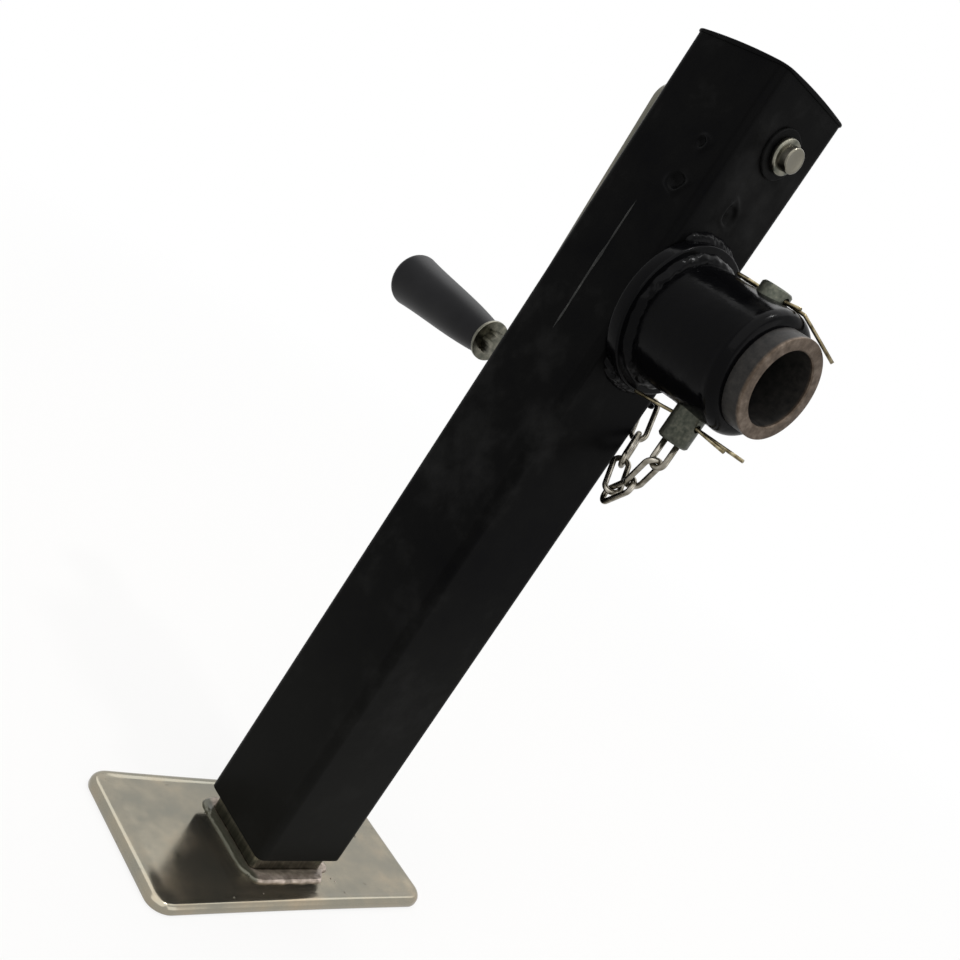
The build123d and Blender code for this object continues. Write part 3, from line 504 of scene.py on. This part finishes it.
def corner_round(along, radius, size, quarter, steps=5):
    """Profile points on the quarter circle that rounds an outer corner to a size.

    Quarter 0 climbs from the near face to the rim, and quarter 1 goes from the rim to the far face.
    """
    turn = np.linspace(0, np.pi / 2, steps)
    rise, run = size * np.sin(turn), size * np.cos(turn)
    if quarter == 1:
        return list(zip(along - size + rise, radius - size + run))
    return list(zip(along + size - run, radius - size + rise))


def ring_profile(low, high, inside, outside, size):
    """A washer's section: a rectangle whose two outer corners are rounded to a size."""
    return [(low, inside), *corner_round(low, outside, size, 0),
            *corner_round(high, outside, size, 1), (high, inside)]


nut_zinc, tree, shader, place = start_material(
    "zinc_on_turned_steel", "#8d8c80", Metallic=1.0, Roughness=0.3)
# Handling breaks the shine of small plated parts into a mottle of about 4 mm.
mottle = add_node(tree, "ShaderNodeTexNoise", {"Scale": 1 / 0.004, "Detail": 5.0}, {"Vector": place})
tint = add_node(tree, "ShaderNodeValToRGB", links={"Fac": mottle.outputs["Fac"]},
                stops=((0.3, "#4d4e46"), (0.5, "#66655b"), (0.72, "#827f73")))
tree.links.new(tint.outputs["Color"], shader.inputs["Base Color"])
bump = add_node(tree, "ShaderNodeBump", {"Strength": 0.25, "Distance": 0.0002},
                {"Height": mottle.outputs["Fac"]})
tree.links.new(bump.outputs["Normal"], shader.inputs["Normal"])

centre = (0, 0, SHAFT_LEVEL)
for side, node in ((1, "shaft_bush_mount_side"), (-1, "shaft_bush_crank_side")):
    section = ring_profile(TUBE_SIDE / 2, BUSH_FACE, SHAFT_RADIUS + BUSH_FIT, BUSH_RADIUS, 0.8)
    grid = turned(section, (0, 0, 0)) * [side, 1, 1] + centre
    make_piece(node + "_flange", [grid], black_enamel, "housing", "black_paint", node,
               wrap_rows=True)
washer = turned(ring_profile(WASHER_START, WASHER_END, SHAFT_RADIUS, WASHER_RADIUS, 1.1), centre)
make_piece("shaft_washer_pressed", [washer], nut_zinc, "crank", "zinc_plate", "shaft_washer",
           wrap_rows=True)
spacer = turned(ring_profile(ARM_INNER, SPACER_END, SHAFT_RADIUS, SPACER_RADIUS, 0.5), centre)
make_piece("arm_spacer_tube", [spacer], nut_zinc, "crank", "zinc_plate", "arm_spacer",
           wrap_rows=True)

sawn_zinc, tree, shader, place = start_material(
    "sawn_plated_bar", "#6d6a60", Metallic=1.0, Roughness=0.3)
# Saw marks run up the end face under the zinc, drawn 0.6 mm apart so that they show.
cuts = add_node(tree, "ShaderNodeMapping", {"Scale": (1.0, 1.0, 0.08)}, {"Vector": place})
saw = add_node(tree, "ShaderNodeTexNoise", {"Scale": 1 / 0.0006, "Detail": 2.0},
               {"Vector": cuts.outputs["Vector"]})
bump = add_node(tree, "ShaderNodeBump", {"Strength": 0.3, "Distance": 0.0001},
                {"Height": saw.outputs["Fac"]})
tree.links.new(bump.outputs["Normal"], shader.inputs["Normal"])

# The sawn end is slightly dished and its rim is broken.
far_end = ARM_OUTER - ARM_WELD_LEG
section = [(far_end, 0.0), *corner_round(far_end, SHAFT_RADIUS, 0.5, 0),
           *corner_round(SHAFT_END, SHAFT_RADIUS, 0.9, 1),
           (SHAFT_END - 0.15, 4.6), (SHAFT_END - 0.35, 2.4), (SHAFT_END - 0.4, 0.0)]
make_piece("crank_shaft_bar", [turned(section, centre)], sawn_zinc, "crank", "zinc_plate",
           "crank_shaft")
# The arm's weld bulges from the shaft's end down to the arm, with 28 ripples round it.
angle = np.linspace(0, 2 * np.pi, 140, endpoint=False)
ripples = 0.25 * np.abs(np.sin(angle * 14)) + 0.2 * np.sin(angle * 3 + 1)
profile = np.array([(0.0, 6.3), (-ARM_WELD_LEG, 6.3), (-2.1, 6.6), (-1.5, 7.4), (-0.8, 8.1),
                    (0.0, 8.5)])
bead = turned(profile + [ARM_OUTER, 0], centre, 140)
bead[1:5, :, 0] += np.clip(ripples[None] * 0.6, 0, 1)
make_piece("arm_weld_bead", [bead], weld_zinc, "crank", "zinc_plate", "arm_weld",
           wrap_rows=True, sharp=70)


# Crank arm: flat zinc-plated bar with rounded ends and slightly rolled long edges. It is parked
# leaning a little, and everything it carries leans with it.
ARM_TOP = 450.0
ARM_FOOT = 300.0
ARM_HALF = 12.5
ARM_LEAN = math.radians(2.0)


def lean(grid):
    """Turns points about the cross shaft's axis by the parked arm's lean.

    The new y is y cosine less z sine, and the new z is y sine plus z cosine.
    """
    pivot = [0, 0, SHAFT_LEVEL]
    x, y, z = np.moveaxis(grid - pivot, -1, 0)
    across = y * math.cos(ARM_LEAN) - z * math.sin(ARM_LEAN)
    upwards = y * math.sin(ARM_LEAN) + z * math.cos(ARM_LEAN)
    return np.stack([x, across, upwards], -1) + pivot


half_length = (ARM_TOP - ARM_FOOT) / 2 + ARM_HALF
outline, outward = rounded_outline(ARM_HALF, half_length, ARM_HALF - 0.01, 30, 20)
middle = (ARM_TOP + ARM_FOOT) / 2
rings = []
for inset, depth in ((12.4, 0), (6.0, 0), (0.9, 0), (0.3, 0.25), (0, 0.9),
                     (0, 5.1), (0.3, 5.75), (0.9, 6), (6.0, 6), (12.4, 6)):
    flat = outline - outward * inset
    points = [np.full(len(flat), ARM_INNER - depth), flat[:, 0], flat[:, 1] + middle]
    rings.append(np.stack(points, -1))
make_piece("crank_arm_bar", [lean(np.stack(rings))], leg_zinc, "crank", "zinc_plate", "crank_arm")


# Grip: a moulded black plastic handle that turns on its bolt. It is widest at its free end,
# and a recess there takes the bolt's head. Hands have clouded its surface a little.
GRIP_LEVEL = 300.0
GRIP_START = -70.4
GRIP_LENGTH = 81.0
GRIP_RADII = (9.7, 12.8, 14.4, 16.5)
GRIP_ROUND = 4.0
GRIP_BORE = 4.1
RECESS_RADIUS = 9.0
RECESS_DEPTH = 8.0

grip_plastic, tree, shader, place = start_material(
    "moulded_black_plastic", "#121214", Roughness=0.4, **{"Specular IOR Level": 0.12})
# The mould leaves a satin skin, whose grain is drawn 1 mm coarse so that it shows.
skin = add_node(tree, "ShaderNodeTexNoise", {"Scale": 1 / 0.001, "Detail": 3.0}, {"Vector": place})
cloud = add_node(tree, "ShaderNodeTexNoise", {"Scale": 1 / 0.02, "Detail": 4.0}, {"Vector": place})
tint = add_node(tree, "ShaderNodeValToRGB", links={"Fac": cloud.outputs["Fac"]},
                stops=((0.3, "#0e0e10"), (0.7, "#161618")))
tree.links.new(tint.outputs["Color"], shader.inputs["Base Color"])
bump = add_node(tree, "ShaderNodeBump", {"Strength": 0.05, "Distance": 0.0001},
                {"Height": skin.outputs["Fac"]})
tree.links.new(bump.outputs["Normal"], shader.inputs["Normal"])

# The side is the cubic through four radii, a third of the length apart.
curve = np.polyfit(np.linspace(0, 1, 4), GRIP_RADII, 3)
end_start = 1 - GRIP_ROUND / GRIP_LENGTH
share = np.linspace(0.02, end_start, 44)
section = [(0.0, GRIP_BORE), (0.0, 9.2), (0.2, 9.6), (0.8, 9.8)]
section += list(zip(share * GRIP_LENGTH, np.polyval(curve, share)))
rim = np.polyval(curve, end_start) - GRIP_ROUND
turn = np.linspace(0.1, np.pi / 2, 9)
section += list(zip(GRIP_LENGTH - GRIP_ROUND + GRIP_ROUND * np.sin(turn),
                    rim + GRIP_ROUND * np.cos(turn)))
floor_place = GRIP_LENGTH - RECESS_DEPTH
section += [(GRIP_LENGTH, RECESS_RADIUS + 0.5), (GRIP_LENGTH - 0.5, RECESS_RADIUS),
            (floor_place, RECESS_RADIUS), (floor_place, GRIP_BORE)]
grip = turned(np.array(section) * [-1, 1] + [GRIP_START, 0], (0, 0, GRIP_LEVEL), 96)
make_piece("crank_grip_moulded", [lean(grip)], grip_plastic, "grip", "grip_plastic", "crank_grip",
           wrap_rows=True)


# Grip bolt, long lock nut and washer: zinc-plated standard parts. The nut's corners are
# chamfered to cones at both ends.
NUT_ACROSS = 13.0
NUT_END = -68.0
NUT_BORE = 3.9
NUT_CHAMFER = 0.7
NUT_FACE = 6.4
GRIP_WASHER_RADIUS = 11.75
GRIP_WASHER_THICKNESS = 2.0
BOLT_RADIUS = 4.0
BOLT_HEAD = -149.3
BOLT_HEAD_HEIGHT = 5.5


def hexagon(profile, across, centre):
    """A six-sided bar along X: each (along, radius) ring is the hexagon cut back to that radius.

    A point's distance is the smaller of the flat's distance over a cosine and the ring's radius.
    """
    angle = np.linspace(0, 2 * np.pi, 96, endpoint=False)
    near = np.abs((angle + np.pi / 6) % (np.pi / 3) - np.pi / 6)
    edge = across / 2 / np.cos(near)
    along, radius = np.asarray(profile, float).T
    reach = np.minimum(edge[None], radius[:, None])
    stations = along[:, None] * np.ones(len(angle))
    points = [stations, reach * np.sin(angle), reach * np.cos(angle)]
    return np.stack(points, -1) + np.asarray(centre, float)


# Every piece here lies on the bolt's line and leans with the arm.
centre = (0, 0, GRIP_LEVEL)
corner = NUT_ACROSS / 2 / math.cos(math.pi / 6)
section = [(ARM_OUTER, NUT_BORE), (ARM_OUTER, NUT_FACE), (ARM_OUTER - NUT_CHAMFER, corner),
           (NUT_END + NUT_CHAMFER, corner), (NUT_END, NUT_FACE), (NUT_END, NUT_BORE)]
nut = hexagon(section, NUT_ACROSS, centre)
make_piece("grip_nut_hexagon", [lean(nut)], nut_zinc, "crank", "zinc_plate", "grip_nut",
           wrap_rows=True, sharp=25)
section = ring_profile(NUT_END - GRIP_WASHER_THICKNESS, NUT_END, NUT_BORE, GRIP_WASHER_RADIUS, 0.35)
make_piece("grip_washer_plain", [lean(turned(section, centre))], nut_zinc, "crank", "zinc_plate",
           "grip_washer", wrap_rows=True)
inner_end = BOLT_HEAD + BOLT_HEAD_HEIGHT
section = [(BOLT_HEAD, 0.0), (BOLT_HEAD, 6.0), (BOLT_HEAD + 0.4, corner), (inner_end, corner),
           (inner_end, BOLT_RADIUS)]
head = hexagon(section, NUT_ACROSS, centre)
section = [(inner_end, BOLT_RADIUS), (ARM_INNER, BOLT_RADIUS), (ARM_INNER, 0.0)]
shank = turned(section, centre, 96)
make_piece("grip_bolt_headed", [lean(head), lean(shank)], nut_zinc, "crank", "zinc_plate",
           "grip_bolt", sharp=25)


# Swivel mount: a thick ring and a length of heavy pipe welded to the tube's wall, all brushed
# with the same enamel. The welds are glossy and lumpy, and the lock pin's hole is drilled through.
MOUNT_LEVEL = 365.0
FLANGE_RADIUS = 39.0
FLANGE_FACE = 38.0
SLEEVE_RADIUS = 31.75
SLEEVE_ROUND = 6.0
SLEEVE_END = 95.0
SLEEVE_SAG = 0.08
SLEEVE_WAVE = 0.06
SLEEVE_WELD_LEG = 4.5
FLANGE_WELD_LEG = 5.0
FLANGE_WELD_HALF_TURN = 0.6
STUB_RADIUS = 25.4
STUB_FIT = 0.05
PIN_X = 73.0
PIN_HOLE = 8.75
DRILL_REACH = 65.0

wet_enamel, tree, shader, place = start_material(
    "thick_black_enamel", "#050506", Roughness=0.2, **{"Specular IOR Level": 0.05})
# Paint this thick runs before it dries, into waves of about 9 mm that shine unevenly.
runs = add_node(tree, "ShaderNodeTexNoise", {"Scale": 1 / 0.009, "Detail": 3.0}, {"Vector": place})
rough = add_node(tree, "ShaderNodeMapRange", {"To Min": 0.05, "To Max": 0.32},
                 {"Value": runs.outputs["Fac"]})
tree.links.new(rough.outputs["Result"], shader.inputs["Roughness"])
bump = add_node(tree, "ShaderNodeBump", {"Strength": 0.35, "Distance": 0.0008},
                {"Height": runs.outputs["Fac"]})
tree.links.new(bump.outputs["Normal"], shader.inputs["Normal"])


def drill(piece, radius, x):
    """Cuts a round upright hole of a radius at x, both in mm, through a finished piece."""
    low, high = MOUNT_LEVEL - DRILL_REACH, MOUNT_LEVEL + DRILL_REACH
    bit = turned([(low, 0.0), (low, radius), (high, radius), (high, 0.0)], (x, 0, 0), 64, "z")
    mesh = grid_mesh("drill", [bit], False)
    close_mesh(mesh)
    cutter = bpy.data.objects.new("drill", mesh)
    bpy.context.scene.collection.objects.link(cutter)
    cut = piece.modifiers.new("hole", "BOOLEAN")
    cut.operation, cut.object, cut.solver = "DIFFERENCE", cutter, "EXACT"
    bpy.context.view_layer.update()
    whole = piece.evaluated_get(bpy.context.evaluated_depsgraph_get())
    made = bpy.data.meshes.new_from_object(whole)
    piece.modifiers.remove(cut)
    piece.data = made
    bpy.data.objects.remove(cutter)
    bpy.data.meshes.remove(mesh)
    made.set_sharp_from_angle(angle=math.radians(35))


centre = (0, 0, MOUNT_LEVEL)
flange = turned(ring_profile(TUBE_SIDE / 2, FLANGE_FACE, SLEEVE_RADIUS, FLANGE_RADIUS, 1.2), centre, 120)
make_piece("mount_flange_ring", [flange], wet_enamel, "housing", "black_paint", "mount_flange",
           wrap_rows=True)
section = [(TUBE_SIDE / 2, STUB_RADIUS + STUB_FIT), (TUBE_SIDE / 2, SLEEVE_RADIUS)]
section += [(x, SLEEVE_RADIUS) for x in np.linspace(34, 88, 28)]
section += corner_round(SLEEVE_END, SLEEVE_RADIUS, SLEEVE_ROUND, 1, 12)
section += [(SLEEVE_END, STUB_RADIUS + STUB_FIT)]
sleeve = turned(section, centre, 120)
# The 28 rings of the wall sag a little inwards, in long, soft waves.
wall = slice(2, 30)
sag = SLEEVE_WAVE * ripple(sleeve[wall], 22, 11)[..., None] - SLEEVE_SAG
sleeve[wall, :, 1:] += (sleeve[wall, :, 1:] - [0, MOUNT_LEVEL]) * sag / SLEEVE_RADIUS
pipe = make_piece("mount_sleeve_pipe", [sleeve], wet_enamel, "housing", "black_paint",
                  "mount_sleeve", wrap_rows=True)
drill(pipe, PIN_HOLE, PIN_X)


def bead_ring(radius, face, leg, angle, size, seed):
    """A fillet round the mount's axis between a round wall and a face, as rows of section points.

    At each tilt from the wall to the face the reach is the leg times a hollow and a size for each
    angle, plus lumps, from a corner 0.1 mm deep in both. A deeper point closes the section.
    """
    rows = []
    for tilt in np.linspace(0, np.pi / 2, 14):
        spot = with_height(np.stack([radius * np.cos(angle), radius * np.sin(angle)], -1), tilt * 3)
        lumps = 0.35 * ripple(spot, 7, seed) + 0.15 * ripple(spot, 3, seed + 1)
        reach = np.clip(leg * size * (0.88 - 0.1 * np.sin(2 * tilt)) + lumps * size, 0.05, leg + 0.05)
        x, out = face - 0.1 + reach * np.sin(tilt), radius - 0.1 + reach * np.cos(tilt)
        rows.append(np.stack([x, out * np.cos(angle), out * np.sin(angle) + MOUNT_LEVEL], -1))
    x, out = np.full(len(angle), face - 0.5), radius - 0.5
    rows.append(np.stack([x, out * np.cos(angle), out * np.sin(angle) + MOUNT_LEVEL], -1))
    return np.stack(rows)


angle = np.linspace(0, 2 * np.pi, 240, endpoint=False)
bead = bead_ring(SLEEVE_RADIUS, FLANGE_FACE, SLEEVE_WELD_LEG, angle, 0.95, 21)
make_piece("sleeve_weld_bead", [bead], wet_enamel, "housing", "black_paint", "sleeve_weld",
           wrap_rows=True, sharp=70)
# The flange is welded above and below, and at its sides it overhangs the tube.
beads = []
for side in (1, -1):
    share = np.linspace(-1, 1, 90)
    angle = side * np.pi / 2 + share * FLANGE_WELD_HALF_TURN
    size = 0.9 * np.sqrt(np.clip(1 - np.abs(share) ** 5, 0.01, 1))
    bead = bead_ring(FLANGE_RADIUS, TUBE_SIDE / 2, FLANGE_WELD_LEG, angle, size, 31)
    beads.append(np.swapaxes(bead, 0, 1))
make_piece("flange_weld_beads", beads, wet_enamel, "housing", "black_paint", "flange_weld",
           sharp=70)


# Stub: the sawn pipe that is welded to a trailer's frame. Its end is bare, warm-grey steel
# with a skin of rust, dark inside, and overspray dulls the band next to the sleeve.
STUB_START = 31.0
STUB_END = 105.5
STUB_EDGE = 0.6
BORE_RADIUS = 19.05

bare_steel, tree, shader, place = start_material(
    "sawn_bare_steel", "#554a3f", Roughness=0.5, **{"Specular IOR Level": 0.15})
spots = add_node(tree, "ShaderNodeTexNoise", {"Scale": 1 / 0.004, "Detail": 8.0, "Roughness": 0.65},
                 {"Vector": place})
end_tint = add_node(tree, "ShaderNodeValToRGB", links={"Fac": spots.outputs["Fac"]},
                    stops=((0.3, "#3b322a"), (0.5, "#52473d"), (0.7, "#6b6056")))
dark_tint = add_node(tree, "ShaderNodeValToRGB", links={"Fac": spots.outputs["Fac"]},
                     stops=((0.3, "#191919"), (0.7, "#302e2c")))
# Bare metal shows on the end face and a thin band round it, the rest is scale and overspray.
parts = add_node(tree, "ShaderNodeSeparateXYZ", links={"Vector": place})
bare = add_node(tree, "ShaderNodeMapRange", {"From Min": 0.1035, "From Max": 0.1049},
                {"Value": parts.outputs["X"]})
mixed = add_node(tree, "ShaderNodeMix", None,
                 {"Factor": bare.outputs["Result"], 6: dark_tint.outputs["Color"],
                  7: end_tint.outputs["Color"]}, data_type="RGBA")
tree.links.new(mixed.outputs[2], shader.inputs["Base Color"])
metal = add_node(tree, "ShaderNodeMapRange", {"To Min": 0.1, "To Max": 0.6},
                 {"Value": bare.outputs["Result"]})
tree.links.new(metal.outputs["Result"], shader.inputs["Metallic"])
bump = add_node(tree, "ShaderNodeBump", {"Strength": 0.3, "Distance": 0.0002},
                {"Height": spots.outputs["Fac"]})
tree.links.new(bump.outputs["Normal"], shader.inputs["Normal"])

# The points at 60 and 70 mm keep the long walls' faces short where the pin's hole is cut.
section = [(STUB_START, BORE_RADIUS), (STUB_START, STUB_RADIUS), (60.0, STUB_RADIUS),
           *corner_round(STUB_END, STUB_RADIUS, STUB_EDGE, 1), (STUB_END, 22.0),
           (STUB_END, BORE_RADIUS + STUB_EDGE), (STUB_END - STUB_EDGE, BORE_RADIUS),
           (70.0, BORE_RADIUS)]
pipe = make_piece("swivel_stub_pipe", [turned(section, centre, 120)], bare_steel, "stub",
                  "bare_steel", "swivel_stub", wrap_rows=True)
drill(pipe, PIN_HOLE, PIN_X)


# Lock pin: turned bar with a dull grey-green zinc, chamfered at both ends, cross-drilled for
# its split pins. It hangs through the sleeve and the stub.
dull_zinc, tree, shader, place = start_material(
    "dull_zinc_plating", "#4a4c43", Metallic=0.85, Roughness=0.45)
# The plating is matt and grainy, in grains of about 2 mm.
mottle = add_node(tree, "ShaderNodeTexNoise", {"Scale": 1 / 0.002, "Detail": 6.0}, {"Vector": place})
tint = add_node(tree, "ShaderNodeValToRGB", links={"Fac": mottle.outputs["Fac"]},
                stops=((0.3, "#363932"), (0.5, "#45473f"), (0.7, "#58584e")))
tree.links.new(tint.outputs["Color"], shader.inputs["Base Color"])
bump = add_node(tree, "ShaderNodeBump", {"Strength": 0.25, "Distance": 0.0002},
                {"Height": mottle.outputs["Fac"]})
tree.links.new(bump.outputs["Normal"], shader.inputs["Normal"])


def smooth_copy(name, node, material, body, slot, sharp=30):
    """A merged copy of a CAD node's mesh, shaded smooth between its real edges."""
    mesh = frame["nodes"][node].data.copy()
    mesh.name = name
    return finish_piece(name, mesh, material, body, slot, node, sharp=sharp)


smooth_copy("lock_pin_bar", "lock_pin", dull_zinc, "pin", "dull_zinc")


# Split pins: soft half-round wire, zinc plated with a yellow cast. Each is folded round an eye,
# pushed through the lock pin's cross hole, and has its legs bent apart.
yellow_zinc, tree, shader, place = start_material(
    "yellow_zinc_wire", "#6d6347", Metallic=0.95, Roughness=0.32)
# The yellow film is smeared, thicker in patches of about 4 mm.
smear = add_node(tree, "ShaderNodeTexNoise", {"Scale": 1 / 0.004, "Detail": 4.0}, {"Vector": place})
tint = add_node(tree, "ShaderNodeValToRGB", links={"Fac": smear.outputs["Fac"]},
                stops=((0.3, "#3f3829"), (0.5, "#736950"), (0.7, "#9c937a")))
tree.links.new(tint.outputs["Color"], shader.inputs["Base Color"])
for node in ("lower_split_pin", "upper_split_pin"):
    smooth_copy(node + "_wire", node, yellow_zinc, "pin", "yellow_zinc", 50)


# Chain: short welded links of zinc-plated wire, from an eye under the lock pin to an anchor
# bent from the same wire and painted with the tube.
chain_zinc, tree, shader, place = start_material(
    "chain_zinc_plating", "#6f6a5e", Metallic=1.0, Roughness=0.27)
# Links are plated in a barrel, where they rub one another bright in patches of about 5 mm.
mottle = add_node(tree, "ShaderNodeTexNoise", {"Scale": 1 / 0.005, "Detail": 4.0}, {"Vector": place})
tint = add_node(tree, "ShaderNodeValToRGB", links={"Fac": mottle.outputs["Fac"]},
                stops=((0.3, "#5a564b"), (0.5, "#807b70"), (0.7, "#a5a096")))
tree.links.new(tint.outputs["Color"], shader.inputs["Base Color"])
bump = add_node(tree, "ShaderNodeBump", {"Strength": 0.3, "Distance": 0.0002},
                {"Height": mottle.outputs["Fac"]})
tree.links.new(bump.outputs["Normal"], shader.inputs["Normal"])
smooth_copy("chain_eye_wire", "chain_eye", chain_zinc, "pin", "dull_zinc", 50)
for node in [f"chain_link_{number}" for number in range(1, 6)]:
    smooth_copy(node + "_wire", node, chain_zinc, "chain", "dull_zinc", 50)
smooth_copy("chain_anchor_wire", "chain_anchor", black_enamel, "housing", "black_paint", 50)


# Works inside the tube: the lead screw, its nut, the thrust bearing and the bevel gears. They
# are oiled steel, and only show when the jack is taken apart.
oiled_steel, tree, shader, place = start_material(
    "oiled_machined_steel", "#6c675f", Metallic=1.0, Roughness=0.3)
# The film of oil is uneven and darkens the steel in patches of about 6 mm.
film = add_node(tree, "ShaderNodeTexNoise", {"Scale": 1 / 0.006, "Detail": 5.0}, {"Vector": place})
tint = add_node(tree, "ShaderNodeValToRGB", links={"Fac": film.outputs["Fac"]},
                stops=((0.3, "#4a463f"), (0.6, "#78736a")))
tree.links.new(tint.outputs["Color"], shader.inputs["Base Color"])
slots = {part["node"]: part["material_slot"] for part in frame["record"]["subparts"]}
for node in ("lead_nut", "bearing_plate", "upper_race", "lower_race", "thrust_balls", "ball_cage",
             "lead_screw", "screw_stop", "stop_pin", "driven_gear", "driven_gear_pin",
             "pinion_gear", "pinion_pin"):
    body = frame["nodes"][node]["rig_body"]
    smooth_copy(node + "_steel", node, oiled_steel, body, slots[node])


# Studio: a pale floor, a white surround that metal mirrors, and large soft lamps. A small lamp
# high above gives the wet paint its points of light. Here and at the camera, sizes are in metres.
FLOOR_HALF = 6.0
FLOOR_DROP = 0.0003

floor_material, tree, shader, place = start_material("pale_floor", "#e6e4e0", Roughness=0.9)


def white_rays(tree):
    """A value of 1 for rays from the camera, from a mirror or through glass, and 0 for the rest."""
    rays = add_node(tree, "ShaderNodeLightPath").outputs
    seen = add_node(tree, "ShaderNodeMath", None,
                    {0: rays["Is Camera Ray"], 1: rays["Is Glossy Ray"]}, operation="ADD")
    seen = add_node(tree, "ShaderNodeMath", None,
                    {0: seen.outputs[0], 1: rays["Is Transmission Ray"]},
                    operation="ADD", use_clamp=True)
    return seen.outputs[0]


# Near the jack the floor keeps a share of its shadow, and far off it is plain white.
away = add_node(tree, "ShaderNodeVectorMath", links={0: place}, operation="LENGTH")
whiter = add_node(tree, "ShaderNodeMapRange",
                  {"From Min": 0.3, "From Max": 1.5, "To Min": 0.8, "To Max": 1.0},
                  {"Value": away.outputs["Value"]})
seen = add_node(tree, "ShaderNodeMath", None, {0: white_rays(tree), 1: whiter.outputs["Result"]},
                operation="MULTIPLY")
white = add_node(tree, "ShaderNodeEmission", {"Color": linear("#ffffff"), "Strength": 1.0})
blend = add_node(tree, "ShaderNodeMixShader", None,
                 {"Fac": seen.outputs[0], 1: shader.outputs["BSDF"], 2: white.outputs["Emission"]})
output = next(node for node in tree.nodes if node.type == "OUTPUT_MATERIAL")
tree.links.new(blend.outputs["Shader"], output.inputs["Surface"])
floor_mesh = bpy.data.meshes.new("floor")
corners = [(x * FLOOR_HALF, y * FLOOR_HALF, 0) for x, y in ((-1, -1), (1, -1), (1, 1), (-1, 1))]
floor_mesh.from_pydata(corners, [], [(0, 1, 2, 3)])
floor_mesh.materials.append(floor_material)
floor = bpy.data.objects.new("floor", floor_mesh)
floor.location = (0, 0, -FLOOR_DROP)
bpy.context.scene.collection.objects.link(floor)

world = bpy.data.worlds.new("surround")
bpy.context.scene.world = world
world.use_nodes = True
tree = world.node_tree
tree.nodes.clear()
lit = add_node(tree, "ShaderNodeBackground", {"Color": linear("#ffffff"), "Strength": 0.35})
shown = add_node(tree, "ShaderNodeBackground", {"Color": linear("#ffffff"), "Strength": 1.0})
blend = add_node(tree, "ShaderNodeMixShader", None,
                 {"Fac": white_rays(tree), 1: lit.outputs[0], 2: shown.outputs[0]})
add_node(tree, "ShaderNodeOutputWorld", links={"Surface": blend.outputs[0]})


def soft_lamp(name, place, aim, width, height, power):
    """A rectangular lamp at a place in metres, turned to its aim, with its power in watts."""
    data = bpy.data.lights.new(name, "AREA")
    data.shape = "RECTANGLE"
    data.size, data.size_y, data.energy = width, height, power
    lamp = bpy.data.objects.new(name, data)
    bpy.context.scene.collection.objects.link(lamp)
    way = np.subtract(aim, place)
    back = -way / np.linalg.norm(way)
    side = np.cross((0, 0, 1), back)
    side /= np.linalg.norm(side)
    turn = Matrix(np.stack([side, np.cross(back, side), back], 1).tolist()).to_4x4()
    lamp.matrix_world = Matrix.Translation(place) @ turn


soft_lamp("key_lamp", (1.0, -1.8, 2.3), (0, 0, 0.25), 4.0, 4.0, 62)
soft_lamp("top_lamp", (-0.7, 0.7, 2.4), (0, 0, 0.3), 3.0, 3.0, 38)
soft_lamp("side_lamp", (2.4, 0.7, 1.1), (0, 0, 0.3), 2.0, 2.4, 18)
soft_lamp("point_lamp", (0.3, 0.02, 1.3), (0.03, 0, 0.4), 0.05, 0.05, 2.5)


# Camera: where the photograph was taken from, rolled as it was held. Its place, turn, lens
# and centre come from a fit to the tube's and the plate's edges.
camera_data = bpy.data.cameras.new("camera")
camera = bpy.data.objects.new("camera", camera_data)
bpy.context.scene.collection.objects.link(camera)
bpy.context.scene.camera = camera
camera_data.sensor_width = 36.0
camera_data.lens = 44.645
camera_data.shift_x = -0.0230
camera_data.shift_y = 0.0179
right = (0.56124, 0.62436, 0.54330)
down = (0.53170, 0.23106, -0.81480)
ahead = (-0.63427, 0.74618, -0.20229)
turn = Matrix(np.array([right, np.negative(down), np.negative(ahead)]).T.tolist()).to_4x4()
camera.matrix_world = Matrix.Translation((0.39384, -0.45688, 0.36584)) @ turn

bpy.context.scene.view_settings.view_transform = "Standard"
